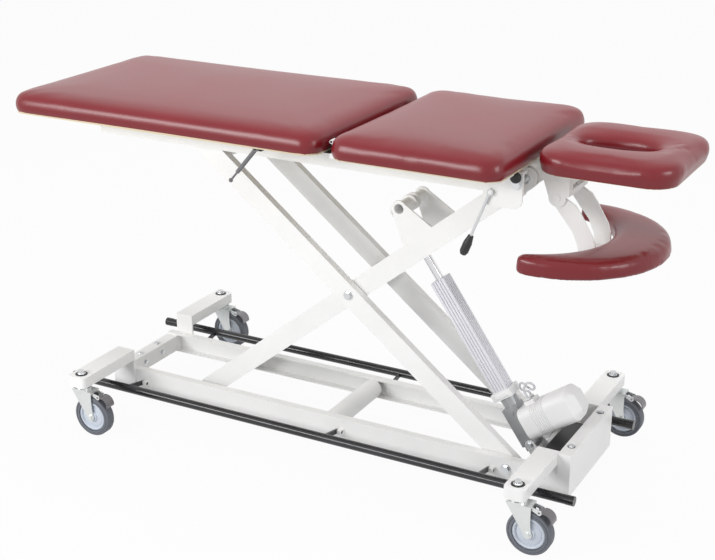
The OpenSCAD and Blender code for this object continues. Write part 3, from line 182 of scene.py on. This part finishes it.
gl.new(spot.outputs["Object"], pebbles.inputs["Vector"])
gl.new(spot.outputs["Object"], patches.inputs["Vector"])
gl.new(spot.outputs["Object"], fine.inputs["Vector"])
gl.new(g_in.outputs["Pebble size"], pebbles.inputs["Scale"])
gl.new(patches.outputs["Fac"], ramp.inputs["Value"])
gl.new(ramp.outputs[0], tone.inputs["Factor"])
gl.new(g_in.outputs["Colour"], tone.inputs["A"])
gl.new(g_in.outputs["Worn colour"], tone.inputs["B"])
gl.new(tone.outputs["Result"], g_out.inputs["Colour"])
gl.new(patches.outputs["Fac"], rough.inputs[0])
gl.new(g_in.outputs["Base roughness"], rough.inputs[2])
gl.new(rough.outputs[0], g_out.inputs["Roughness"])
gl.new(pebbles.outputs["Distance"], both.inputs[0])
gl.new(fine.outputs["Fac"], both.inputs[1])
gl.new(both.outputs[0], g_out.inputs["Height"])

vinyl = bpy.data.materials.new("Burgundy vinyl")
vinyl.use_nodes = True
n = vinyl.node_tree.nodes
l = vinyl.node_tree.links
skin = n.new("ShaderNodeGroup")
skin.node_tree = grain
skin.inputs["Colour"].default_value = (0.172, 0.0055, 0.0105, 1)
skin.inputs["Worn colour"].default_value = (0.192, 0.0075, 0.0135, 1)
skin.inputs["Pebble size"].default_value = 700
skin.inputs["Base roughness"].default_value = 0.27
bump = n.new("ShaderNodeBump")
bump.inputs["Strength"].default_value = 0.12
bump.inputs["Distance"].default_value = 0.0004
l.new(skin.outputs["Colour"], n["Principled BSDF"].inputs["Base Color"])
l.new(skin.outputs["Roughness"], n["Principled BSDF"].inputs["Roughness"])
l.new(skin.outputs["Height"], bump.inputs["Height"])
l.new(bump.outputs["Normal"], n["Principled BSDF"].inputs["Normal"])
n["Principled BSDF"].inputs["Specular IOR Level"].default_value = 0.46
n["Principled BSDF"].inputs["Coat Weight"].default_value = 0.12
n["Principled BSDF"].inputs["Coat Roughness"].default_value = 0.18


HEM_PROUD = 0.0036
PULL_SHARE = 0.6
STAPLED_BAND = 0.004


def stuffed(name, node, body, voxel, swell, under, rounding, board=None):
    """A foam cushion: foam rounded over at the top, in a tight cover that is pulled under its board."""
    mesh = frame["nodes"][node].data.copy()
    mesh.name = name
    bm = bmesh.new()
    bm.from_mesh(mesh)
    bmesh.ops.remove_doubles(bm, verts=bm.verts, dist=0.00005)
    bm.normal_update()
    low, high = (min(v.co.z for v in bm.verts), max(v.co.z for v in bm.verts))
    bottom = low - under
    foam = list(bm.verts)
    if board:
        hem = bmesh.new()
        hem.from_mesh(frame["nodes"][board].data)
        bmesh.ops.remove_doubles(hem, verts=hem.verts, dist=0.00005)
        hem.normal_update()
        middle = sum(v.co.z for v in hem.verts) / len(hem.verts)
        for v in hem.verts:
            v.co += Vector((v.normal.x, v.normal.y, 0)).normalized() * HEM_PROUD
            v.co.z = bottom if v.co.z < middle else low + 0.014
        wrapped = bpy.data.meshes.new(name + "_hem")
        hem.to_mesh(wrapped)
        hem.free()
        bm.from_mesh(wrapped)
    else:
        twin = bmesh.ops.duplicate(bm, geom=bm.verts[:] + bm.edges[:] + bm.faces[:])["vert_map"]
        for v in foam:
            wrap = twin[v]
            wrap.co.z = bottom + (v.co.z - low) * 0.4
    for v in foam:
        v.co -= v.normal * swell * (0.5 if v.co.z > low + 0.008 else 0)
    bm.to_mesh(mesh)
    bm.free()
    mesh.materials.clear()
    piece = bpy.data.objects.new(name, mesh)
    bpy.context.scene.collection.objects.link(piece)
    bpy.context.view_layer.objects.active = piece
    piece.select_set(True)
    pattern = bpy.data.objects.new(name + "_pattern", mesh.copy())
    bpy.context.scene.collection.objects.link(pattern)
    remesh = piece.modifiers.new("Even cloth", "REMESH")
    remesh.mode = "VOXEL"
    remesh.voxel_size = voxel
    bpy.ops.object.modifier_apply(modifier=remesh.name)
    top = piece.vertex_groups.new(name="crown")
    top.add([v.index for v in piece.data.vertices if v.co.z > high - 0.03], 1.0, "REPLACE")
    snug = piece.modifiers.new("Snug", "SHRINKWRAP")
    snug.target = pattern
    snug.vertex_group = top.name
    bpy.ops.object.modifier_apply(modifier=snug.name)
    bpy.data.objects.remove(pattern)
    for v in piece.data.vertices:
        if v.co.z < bottom + voxel * 0.55:
            v.co.z = bottom
    bm = bmesh.new()
    bm.from_mesh(piece.data)
    seam = [v for v in bm.verts if v.co.z < bottom + STAPLED_BAND]
    for _ in range(10):
        bmesh.ops.smooth_vert(bm, verts=seam, factor=0.5, use_axis_x=True, use_axis_y=True)
    bm.to_mesh(piece.data)
    bm.free()
    for part, from_z, to_z, rounds in (("top", low + 0.006, low + 0.024, rounding), ("all", bottom, low, 5)):
        group = piece.vertex_groups.new(name=part)
        for v in piece.data.vertices:
            group.add([v.index], max(0.0, min(1.0, (v.co.z - from_z) / (to_z - from_z))), "REPLACE")
        smooth = piece.modifiers.new("Rounded " + part, "SMOOTH")
        smooth.factor = 0.5
        smooth.iterations = rounds
        smooth.vertex_group = part
        bpy.ops.object.modifier_apply(modifier=smooth.name)
    start = [v.co.copy() for v in piece.data.vertices]
    held = piece.vertex_groups.new(name="stapled")
    held.add([v.index for v in piece.data.vertices if v.co.z < bottom + STAPLED_BAND], 1.0, "REPLACE")
    cloth = piece.modifiers.new("Cover", "CLOTH")
    cloth.settings.quality = 4
    cloth.settings.mass = 0.4
    cloth.settings.tension_stiffness = 30
    cloth.settings.compression_stiffness = 30
    cloth.settings.bending_stiffness = 6
    cloth.settings.use_pressure = True
    cloth.settings.uniform_pressure_force = 4
    cloth.settings.vertex_group_mass = held.name
    cloth.settings.effector_weights.gravity = 0
    cloth.collision_settings.use_collision = False
    cloth.collision_settings.use_self_collision = False
    cloth.point_cache.frame_start = 1
    cloth.point_cache.frame_end = 20
    for f in range(1, 21):
        bpy.context.scene.frame_set(f)
    shaped = piece.evaluated_get(bpy.context.evaluated_depsgraph_get())
    blown = [v.co.copy() for v in shaped.data.vertices]
    piece.modifiers.remove(cloth)
    bpy.context.scene.frame_set(1)
    for v, a, b in zip(piece.data.vertices, start, blown):
        step = b - a
        if step.length > swell * PULL_SHARE:
            step = step.normalized() * swell * PULL_SHARE
        v.co = a + step * max(0.0, min(1.0, (a.z - low - 0.006) / 0.02))
    smooth = piece.modifiers.new("Soft edges", "SMOOTH")
    smooth.factor = 0.5
    smooth.iterations = 14
    smooth.vertex_group = "all"
    bpy.ops.object.modifier_apply(modifier=smooth.name)
    piece.vertex_groups.clear()
    finer = piece.modifiers.new("Finer cover", "SUBSURF")
    finer.levels = finer.render_levels = 1
    bpy.ops.object.modifier_apply(modifier=finer.name)
    for p in piece.data.polygons:
        p.use_smooth = True
    piece.data.materials.append(vinyl)
    piece.select_set(False)
    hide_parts(node)
    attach(piece, body)


stuffed("leg_cushion", "leg_pad", "leg_section", 0.008, 0.006, 0.0118, 46, "leg_board")
stuffed("mid_cushion", "mid_pad", "top_frame", 0.007, 0.006, 0.0118, 60, "mid_board")
stuffed("head_cushion", "head_pad", "head_section", 0.005, 0.005, 0.0118, 60, "head_board")
stuffed("rest_cushion", "armrest_pad", "armrest", 0.005, 0.004, 0.0078, 12)

# ---- Powder-coated steel ----
# Rails, arms, outriggers and brackets are folded and welded steel with a warm white powder coat.
# The coat has a faint orange peel, and dust greys it a little in broad patches.
coat = bpy.data.node_groups.new("Baked coat", "ShaderNodeTree")
for way, label, kind, value in (
    ("INPUT", "Colour", "NodeSocketColor", (0.8, 0.8, 0.78, 1)),
    ("INPUT", "Dusty colour", "NodeSocketColor", (0.7, 0.7, 0.68, 1)),
    ("INPUT", "Peel size", "NodeSocketFloat", 350.0),
    ("INPUT", "Base roughness", "NodeSocketFloat", 0.35),
    ("OUTPUT", "Colour", "NodeSocketColor", None),
    ("OUTPUT", "Roughness", "NodeSocketFloat", None),
    ("OUTPUT", "Height", "NodeSocketFloat", None),
):
    made = coat.interface.new_socket(label, in_out=way, socket_type=kind)
    if value is not None:
        made.default_value = value
g = coat.nodes
gl = coat.links
g_in = g.new("NodeGroupInput")
g_out = g.new("NodeGroupOutput")
spot = g.new("ShaderNodeTexCoord")
peel = g.new("ShaderNodeTexNoise")
peel.inputs["Detail"].default_value = 1
dust = g.new("ShaderNodeTexNoise")
dust.inputs["Scale"].default_value = 5
dust.inputs["Detail"].default_value = 5
ramp = g.new("ShaderNodeMapRange")
ramp.inputs["From Min"].default_value = 0.45
ramp.inputs["From Max"].default_value = 0.75
tone = g.new("ShaderNodeMix")
tone.data_type = "RGBA"
rough = g.new("ShaderNodeMath")
rough.operation = "MULTIPLY_ADD"
rough.inputs[1].default_value = 0.12
gl.new(spot.outputs["Object"], peel.inputs["Vector"])
gl.new(spot.outputs["Object"], dust.inputs["Vector"])
gl.new(g_in.outputs["Peel size"], peel.inputs["Scale"])
gl.new(dust.outputs["Fac"], ramp.inputs["Value"])
gl.new(ramp.outputs[0], tone.inputs["Factor"])
gl.new(g_in.outputs["Colour"], tone.inputs["A"])
gl.new(g_in.outputs["Dusty colour"], tone.inputs["B"])
gl.new(tone.outputs["Result"], g_out.inputs["Colour"])
gl.new(dust.outputs["Fac"], rough.inputs[0])
gl.new(g_in.outputs["Base roughness"], rough.inputs[2])
gl.new(rough.outputs[0], g_out.inputs["Roughness"])
gl.new(peel.outputs["Fac"], g_out.inputs["Height"])


def coated(name, colour, dusty, peel_size, roughness, depth, metallic=0.0):
    """A painted, plated or moulded finish with its own colours, grain size and gloss."""
    made = bpy.data.materials.new(name)
    made.use_nodes = True
    n = made.node_tree.nodes
    l = made.node_tree.links
    skin = n.new("ShaderNodeGroup")
    skin.node_tree = coat
    skin.inputs["Colour"].default_value = (*colour, 1)
    skin.inputs["Dusty colour"].default_value = (*dusty, 1)
    skin.inputs["Peel size"].default_value = peel_size
    skin.inputs["Base roughness"].default_value = roughness
    bump = n.new("ShaderNodeBump")
    bump.inputs["Strength"].default_value = 0.1
    bump.inputs["Distance"].default_value = depth
    l.new(skin.outputs["Colour"], n["Principled BSDF"].inputs["Base Color"])
    l.new(skin.outputs["Roughness"], n["Principled BSDF"].inputs["Roughness"])
    l.new(skin.outputs["Height"], bump.inputs["Height"])
    l.new(bump.outputs["Normal"], n["Principled BSDF"].inputs["Normal"])
    n["Principled BSDF"].inputs["Metallic"].default_value = metallic
    return made


def dress(material, *nodes):
    """Gives a finish to CAD nodes whose shape stays as it is."""
    for node in nodes:
        piece = frame["nodes"][node]
        piece.data.materials.clear()
        piece.data.materials.append(material)


def eased(node, width, material):
    """A copy of a folded or machined piece with its sharp edges eased, as on the real one."""
    mesh = frame["nodes"][node].data.copy()
    bm = bmesh.new()
    bm.from_mesh(mesh)
    bmesh.ops.remove_doubles(bm, verts=bm.verts, dist=0.00002)
    bmesh.ops.dissolve_limit(bm, angle_limit=math.radians(1), verts=bm.verts, edges=bm.edges)
    sharp = [e for e in bm.edges if len(e.link_faces) == 2 and e.calc_face_angle(0) > math.radians(40)]
    bmesh.ops.bevel(
        bm, geom=sharp, offset=width, offset_type="OFFSET", affect="EDGES", segments=2, profile=0.5,
        material=-1, clamp_overlap=True,
    )
    bmesh.ops.triangulate(bm, faces=[f for f in bm.faces if len(f.verts) > 4])
    bm.to_mesh(mesh)
    bm.free()
    mesh.materials.clear()
    mesh.materials.append(material)
    for polygon in mesh.polygons:
        polygon.use_smooth = True
    piece = bpy.data.objects.new(node + "_shown", mesh)
    bpy.context.scene.collection.objects.link(piece)
    shade = piece.modifiers.new("Flat faces", "WEIGHTED_NORMAL")
    shade.weight = 100
    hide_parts(node)
    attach(piece, next(b for b, held in frame["record"]["behaviour"]["bodies"].items() if node in held))


white_coat = coated("White powder coat", (0.91, 0.91, 0.9), (0.86, 0.86, 0.85), 420, 0.3, 0.0006)
for node in (
    "base_rails", "base_rail_flanges", "head_end_box", "base_cross_members", "outriggers",
    "actuator_clevis", "outer_arm_near",
    "outer_arm_far", "inner_arm_near", "inner_arm_far", "inner_cross_tube", "top_rails", "top_bearers",
    "frame_end_plates", "head_bracket",
):
    eased(node, 0.0012, white_coat)
dress(white_coat, "outer_cross_tube")

# ---- Arm rest carrier ----
# Two broad flat arms, cut from 5.6 mm sheet and welded to a plate, hang from the head bracket's pivot bolt.
# The plate is screwed up into the arm rest's board with four round-headed screws.
def cut_sheet(bm, outline, y, thickness):
    """A flat sheet piece, cut to an outline in the X-Z plane and standing at y."""
    face = bm.faces.new([bm.verts.new((x, y, z)) for x, z in outline])
    grown = bmesh.ops.extrude_face_region(bm, geom=[face])["geom"]
    far_side = [v for v in grown if isinstance(v, bmesh.types.BMVert)]
    bmesh.ops.translate(bm, verts=far_side, vec=(0, thickness, 0))


def show(name, bm, material, finish, body, *nodes):
    """Makes a finished mesh a piece of the table, on its body and in its material; the finish argument is not
    used.
    """
    bmesh.ops.recalc_face_normals(bm, faces=bm.faces)
    mesh = bpy.data.meshes.new(name)
    bm.to_mesh(mesh)
    bm.free()
    mesh.materials.append(material)
    for polygon in mesh.polygons:
        polygon.use_smooth = True
    piece = bpy.data.objects.new(name, mesh)
    bpy.context.scene.collection.objects.link(piece)
    shade = piece.modifiers.new("Flat faces", "WEIGHTED_NORMAL")
    shade.weight = 100
    if nodes:
        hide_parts(*nodes)
    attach(piece, body)


def soften(bm, width, segments=2, angle=40):
    """Eases every edge of a mesh that is sharper than the angle."""
    sharp = [e for e in bm.edges if len(e.link_faces) == 2 and e.calc_face_angle(0) > math.radians(angle)]
    bmesh.ops.bevel(
        bm, geom=sharp, offset=width, offset_type="OFFSET", affect="EDGES", segments=segments, profile=0.5,
        material=-1, clamp_overlap=True,
    )


carrier = bmesh.new()
pivot_x, pivot_z, eye_radius = 0.640, 0.8655, 0.022
sheet = 0.0056
eye = [
    (pivot_x + eye_radius * math.cos(math.radians(a)), pivot_z + eye_radius * math.sin(math.radians(a)))
    for a in range(0, 181, 15)
]
arm = eye + [
    (0.619, 0.858), (0.637, 0.836), (0.656, 0.812), (0.684, 0.778), (0.700, 0.742), (0.704, 0.708),
    (0.750, 0.708), (0.748, 0.748), (0.739, 0.774), (0.722, 0.802), (0.706, 0.828), (0.690, 0.850),
    (0.662, 0.8655),
]
for y in (-0.0656, 0.060):
    cut_sheet(carrier, arm, y, sheet)
soften(carrier, 0.0008)
plate = bmesh.ops.create_cube(carrier, size=1)["verts"]
bmesh.ops.scale(carrier, verts=plate, vec=(0.150, 0.1312, 0.006))
bmesh.ops.translate(carrier, verts=plate, vec=(0.779, 0, 0.711))
for x in (0.775, 0.838):
    for y in (-0.045, 0.045):
        screw = bmesh.ops.create_uvsphere(carrier, u_segments=16, v_segments=8, radius=0.006)["verts"]
        bmesh.ops.scale(carrier, verts=screw, vec=(1, 1, 0.5))
        bmesh.ops.translate(carrier, verts=screw, vec=(x, y, 0.708))
show("rest_carrier", carrier, white_coat, "white_steel", "armrest", "armrest_frame")

# ---- Zinc-plated fittings ----
# Shafts, bolts, nuts and the head lever are bright zinc plate, a little cloudy.
zinc = coated("Zinc plate", (0.66, 0.67, 0.68), (0.54, 0.56, 0.58), 140, 0.26, 0.0002, 1.0)
dress(
    zinc, "base_hardware", "scissor_pivot_bolts", "top_pivot_pins", "base_roller_shaft", "top_roller_shaft",
    "head_lever",
)

# ---- Foot bars and black fittings ----
# The foot bars are black steel tubes with plastic caps; the hinge leaves and gas spring are black too.
black_coat = coated("Black coat", (0.012, 0.012, 0.014), (0.03, 0.03, 0.034), 500, 0.14, 0.0004)
dress(black_coat, "switch_bar_near", "switch_bar_far", "leg_hardware", "gas_spring_cylinder")
black_plastic = coated("Black plastic", (0.012, 0.012, 0.013), (0.03, 0.03, 0.03), 900, 0.42, 0.0005)
dress(black_plastic, "head_lever_grip")

# ---- Washers ----
# Dark sealing washers lie under the caster stems' nuts and round the two bolts on top of the head end box.
def turned_ring(bm, profile, centre, steps=32, lying=True):
    """A ring turned from (radius, height) points, lying flat or standing like a wheel."""
    others = set(bm.verts)
    rim = [bm.verts.new((r, 0, h)) for r, h in profile]
    edges = [bm.edges.new((rim[i], rim[(i + 1) % len(rim)])) for i in range(len(rim))]
    bmesh.ops.spin(
        bm, geom=rim + edges, cent=(0, 0, 0), axis=(0, 0, 1), angle=2 * math.pi, steps=steps, use_merge=True,
    )
    ring = [v for v in bm.verts if v not in others]
    if not lying:
        bmesh.ops.rotate(bm, verts=ring, cent=(0, 0, 0), matrix=Matrix.Rotation(math.radians(90), 3, "X"))
    bmesh.ops.translate(bm, verts=ring, vec=centre)


base_top = 0.190
washers = bmesh.new()
for x in (-0.728, 0.686):
    for y in (-0.377, 0.377):
        turned_ring(washers, [(0.0125, 0), (0.0185, 0), (0.0185, 0.0012), (0.0170, 0.0022), (0.0125, 0.0022)],
                    (x, y, base_top))
for y in (-0.118, 0.118):
    turned_ring(washers, [(0.006, 0), (0.0105, 0), (0.0105, 0.001), (0.0095, 0.0014), (0.006, 0.0014)],
                (0.7355, y, base_top), steps=24)
show("stem_washers", washers, black_plastic, "black_plastic", "base")

# ---- Head end fittings ----
# A black locking knob is screwed into the near end plate.
knob = bmesh.new()
turned_ring(knob, [(0.001, 0), (0.0135, 0), (0.0145, 0.002), (0.0145, 0.009), (0.012, 0.0125), (0.001, 0.0135)],
            (0, 0, 0), steps=28)
bmesh.ops.rotate(knob, verts=knob.verts, matrix=Matrix.Rotation(math.radians(90), 3, "X"))
end_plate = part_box("frame_end_plates")
bmesh.ops.translate(knob, verts=knob.verts, vec=(0.566, end_plate[0][1], 0.938))
show("end_plate_knob", knob, black_plastic, "black_plastic", "top_frame")

# ---- Control box ----
# A black moulded box with a lid sits between the rails under the motor and feeds it. It is built taller than
# the drive's own box, so that its black also fills the deep shade under the motor: painted shade.
control = bmesh.new()
bmesh.ops.create_cube(control, size=1)
# Painted shade: the box's extra height above the drive's own box puts black where the deep shade under the
# motor falls.
bmesh.ops.scale(control, verts=control.verts, vec=(0.066, 0.190, 0.088))
bmesh.ops.translate(control, verts=control.verts, vec=(0.683, 0, 0.113))
soften(control, 0.006, 3)
for z in (0.1395, 0.1405, 0.1415, 0.1425):
    bmesh.ops.bisect_plane(control, geom=control.verts[:] + control.edges[:] + control.faces[:],
                           plane_co=(0, 0, z), plane_no=(0, 0, 1))
seam = [v for v in control.verts if 0.1403 < v.co.z < 0.1417]
bmesh.ops.scale(control, verts=seam, vec=(0.975, 0.99, 1), space=Matrix.Translation((-0.683, 0, 0)))
show("control_case_and_shade", control, black_plastic, "black_plastic", "base", "control_box")

# ---- Casters ----
# Grey rubber tyres on pale blue-grey nylon discs with a raised rim, in pressed zinc-plated forks.
# The brake pedals are curled strips of dark bright steel.
rubber = coated("Grey rubber", (0.135, 0.145, 0.168), (0.19, 0.2, 0.22), 260, 0.6, 0.0008)
hub_nylon = coated("Hub nylon", (0.6, 0.65, 0.73), (0.64, 0.68, 0.74), 500, 0.36, 0.0004)
pedal_steel = coated("Pedal steel", (0.2, 0.19, 0.2), (0.3, 0.3, 0.31), 300, 0.16, 0.0004, 0.95)
fork_zinc = coated("Fork zinc", (0.72, 0.74, 0.73), (0.6, 0.63, 0.63), 90, 0.3, 0.0003, 0.8)
wheel_radius = 0.0625
disc = [
    (0.0088, -0.0172), (0.0155, -0.0172), (0.0165, -0.0155), (0.0175, -0.0115), (0.0340, -0.0105),
    (0.0352, -0.0080), (0.0368, -0.0080), (0.0380, -0.0125), (0.0398, -0.0145), (0.0425, -0.0145),
    (0.0440, -0.0130), (0.0469, -0.0125),
]
for corner, x, y in (
    ("foot_near", -0.688, -0.377), ("foot_far", -0.688, 0.377),
    ("head_near", 0.726, -0.377), ("head_far", 0.726, 0.377),
):
    dress(rubber, "tyre_" + corner)
    dress(pedal_steel, "brake_" + corner)
    eased("fork_" + corner, 0.001, fork_zinc)
    hub = bmesh.new()
    turned_ring(hub, disc + [(r, -h) for r, h in reversed(disc)], (x, y, wheel_radius), steps=48, lying=False)
    show("hub_disc_" + corner, hub, hub_nylon, "hub_plastic", "wheel_" + corner, "hub_" + corner)

# ---- Actuator ----
# A silver ribbed aluminium tube, a grey cast gear housing, a white collar and a chromed rod.
aluminium = coated("Anodised tube", (0.79, 0.79, 0.83), (0.7, 0.7, 0.75), 200, 0.4, 0.0001, 0.4)
grey_cast = coated("Grey casting", (0.37, 0.38, 0.39), (0.31, 0.32, 0.33), 300, 0.36, 0.0008, 0.3)
white_plastic = coated("White moulding", (0.87, 0.87, 0.87), (0.81, 0.81, 0.81), 700, 0.38, 0.0004)
chrome = coated("Chrome", (0.75, 0.75, 0.77), (0.7, 0.7, 0.72), 100, 0.1, 0.0001, 1.0)
dress(aluminium, "actuator_tube")
eased("actuator_gearbox", 0.0022, grey_cast)
eased("actuator_collar", 0.003, white_plastic)
dress(chrome, "actuator_rod", "gas_spring_rod")
grey_plastic = coated("Grey moulding", (0.16, 0.16, 0.17), (0.2, 0.2, 0.21), 600, 0.4, 0.0004)
dress(grey_plastic, "leg_release_lever")

# ---- Motor ----
# A white moulded cover, 96 mm square with round corners and 182 mm long, bolted square to the gear housing.
# It has seven fine grooves round it, a faceted end and a socket block where the cable's two ends plug in.
along = Vector((0.8218, 0, 0.5698))
up_tube = Vector((-0.5698, 0, 0.8218))
clevis = Vector((0.584, 0, 0.115))
gear_face = clevis + along * 0.020 + up_tube * 0.058
seat = Matrix((
    (along.x, 0, up_tube.x, gear_face.x), (0, 1, 0, 0), (along.z, 0, up_tube.z, gear_face.z), (0, 0, 0, 1),
))
motor = bmesh.new()
bmesh.ops.create_cube(motor, size=1)
bmesh.ops.scale(motor, verts=motor.verts, vec=(0.182, 0.096, 0.096))
bmesh.ops.translate(motor, verts=motor.verts, vec=(0.091, 0, 0))
long_edges = [e for e in motor.edges if abs(e.verts[0].co.x - e.verts[1].co.x) > 0.1]
bmesh.ops.bevel(motor, geom=long_edges, offset=0.027, offset_type="OFFSET", affect="EDGES", segments=6,
                profile=0.5, material=-1)
end_edges = [e for e in motor.edges if all(v.co.x > 0.181 for v in e.verts)]
bmesh.ops.bevel(motor, geom=end_edges, offset=0.023, offset_type="OFFSET", affect="EDGES", segments=1,
                profile=0.5, material=-1)
for i in range(7):
    groove = 0.044 + 0.0066 * i
    for step in (-0.0014, -0.0007, 0.0007, 0.0014):
        bmesh.ops.bisect_plane(motor, geom=motor.verts[:] + motor.edges[:] + motor.faces[:],
                               plane_co=(groove + step, 0, 0), plane_no=(1, 0, 0))
    sunk = [v for v in motor.verts if abs(v.co.x - groove) < 0.0009]
    bmesh.ops.scale(motor, verts=sunk, vec=(1, 0.952, 0.952))
soften(motor, 0.0016, 2, 35)
block = bmesh.new()
bmesh.ops.create_cube(block, size=1)
bmesh.ops.scale(block, verts=block.verts, vec=(0.034, 0.040, 0.022))
bmesh.ops.translate(block, verts=block.verts, vec=(0.0408, 0, 0.048))
soften(block, 0.003, 3)
for y in (-0.0113, 0.0113):
    cup = bmesh.ops.create_cone(
        block, cap_ends=True, segments=20, radius1=0.0075, radius2=0.0062, depth=0.0072,
    )
    bmesh.ops.translate(block, verts=cup["verts"], vec=(0.0418, y, 0.0620))
bmesh.ops.transform(motor, matrix=seat, verts=motor.verts)
show("motor_cover", motor, white_plastic, "white_plastic", "actuator", "motor_housing")
bmesh.ops.transform(block, matrix=seat, verts=block.verts)
show("motor_socket", block, white_plastic, "white_plastic", "actuator")

# ---- Motor cable ----
# A grey sheathed cable, 6.4 mm thick, leaves one socket on the motor, makes two loops and enters the other.
# Its route keeps within 4 mm of the solid's and bends no tighter than two diameters.
grey_sheath = coated("Grey sheath", (0.6, 0.61, 0.64), (0.52, 0.53, 0.56), 900, 0.4, 0.0004)
sheath = 0.0064
# millimetres up the tube, aside and outwards from the sockets
route = [
    (0, -11.3, 0), (7.9, -11.3, -0.9), (15.8, -11.6, -0.8), (23.3, -12.6, 1.3),
    (29.6, -13.7, 6), (34.2, -14.8, 12.3), (38.7, -16, 19.1), (39.1, -17.2, 28.1),
    (33.8, -16.7, 35.5), (25.7, -14.8, 37.8), (18.3, -11.5, 34.7), (14.7, -8.2, 26.9),
    (17.3, -5.6, 18.6), (23.3, -3.1, 13.6), (27.7, 0.1, 8), (33.8, 3.4, 4.1),
    (40.4, 5.4, -0.9), (42.3, 8.1, -9.1), (38.7, 10.4, -16.3), (31.6, 12.1, -19.9),
    (23.2, 12.7, -18.4), (17.3, 12.3, -12), (14.1, 11.6, -4.8), (7.8, 11.4, -0.5),
    (0, 11.3, 0),
]
socket = clevis + up_tube * 0.12363 + along * 0.06182
laid = [socket + (up_tube * rise + Vector((0, aside, 0)) + along * out) / 1000 for rise, aside, out in route]
line = []
for i in range(len(laid) - 1):
    a, b, c, d = laid[max(i - 1, 0)], laid[i], laid[i + 1], laid[min(i + 2, len(laid) - 1)]
    for share in (0, 1 / 3, 2 / 3):
        line.append(0.5 * (
            2 * b + (c - a) * share + (2 * a - 5 * b + 4 * c - d) * share ** 2
            + (3 * b - a - 3 * c + d) * share ** 3
        ))
line.append(laid[-1])
curve = bpy.data.curves.new("motor_lead", "CURVE")
curve.dimensions = "3D"
curve.bevel_depth = sheath / 2
curve.bevel_resolution = 4
spline = curve.splines.new("POLY")
spline.points.add(len(line) - 1)
for point, place in zip(spline.points, line):
    point.co = (*place, 1)
spline.use_smooth = True
lead = bpy.data.objects.new("motor_lead", curve)
curve.materials.append(grey_sheath)
bpy.context.scene.collection.objects.link(lead)
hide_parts("motor_cable")
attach(lead, "actuator")

# ---- Boards ----
# Each cushion sits on a pale birch plywood board whose edge shows its layers.
ply = bpy.data.materials.new("Birch plywood")
ply.use_nodes = True
n = ply.node_tree.nodes
l = ply.node_tree.links
spot = n.new("ShaderNodeTexCoord")
stretch = n.new("ShaderNodeMapping")
stretch.inputs["Scale"].default_value = (3, 60, 1)
fibre = n.new("ShaderNodeTexNoise")
fibre.inputs["Scale"].default_value = 4
fibre.inputs["Detail"].default_value = 6
parts = n.new("ShaderNodeSeparateXYZ")
layer = n.new("ShaderNodeMath")
layer.operation = "MULTIPLY"
layer.inputs[1].default_value = 2 * math.pi / 0.003
wave = n.new("ShaderNodeMath")
wave.operation = "SINE"
layers = n.new("ShaderNodeMapRange")
layers.inputs["From Min"].default_value = -0.3
layers.inputs["From Max"].default_value = 0.3
tone = n.new("ShaderNodeMix")
tone.data_type = "RGBA"
tone.inputs["A"].default_value = (0.72, 0.62, 0.44, 1)
tone.inputs["B"].default_value = (0.58, 0.47, 0.3, 1)
grain_tone = n.new("ShaderNodeMix")
grain_tone.data_type = "RGBA"
grain_tone.inputs["B"].default_value = (0.66, 0.55, 0.38, 1)
l.new(spot.outputs["Object"], stretch.inputs["Vector"])
l.new(stretch.outputs[0], fibre.inputs["Vector"])
l.new(spot.outputs["Object"], parts.inputs[0])
l.new(parts.outputs["Z"], layer.inputs[0])
l.new(layer.outputs[0], wave.inputs[0])
l.new(wave.outputs[0], layers.inputs["Value"])
l.new(layers.outputs[0], tone.inputs["Factor"])
l.new(tone.outputs["Result"], grain_tone.inputs["A"])
l.new(fibre.outputs["Fac"], grain_tone.inputs["Factor"])
l.new(grain_tone.outputs["Result"], n["Principled BSDF"].inputs["Base Color"])
n["Principled BSDF"].inputs["Roughness"].default_value = 0.55
dress(ply, "leg_board", "mid_board", "head_board")
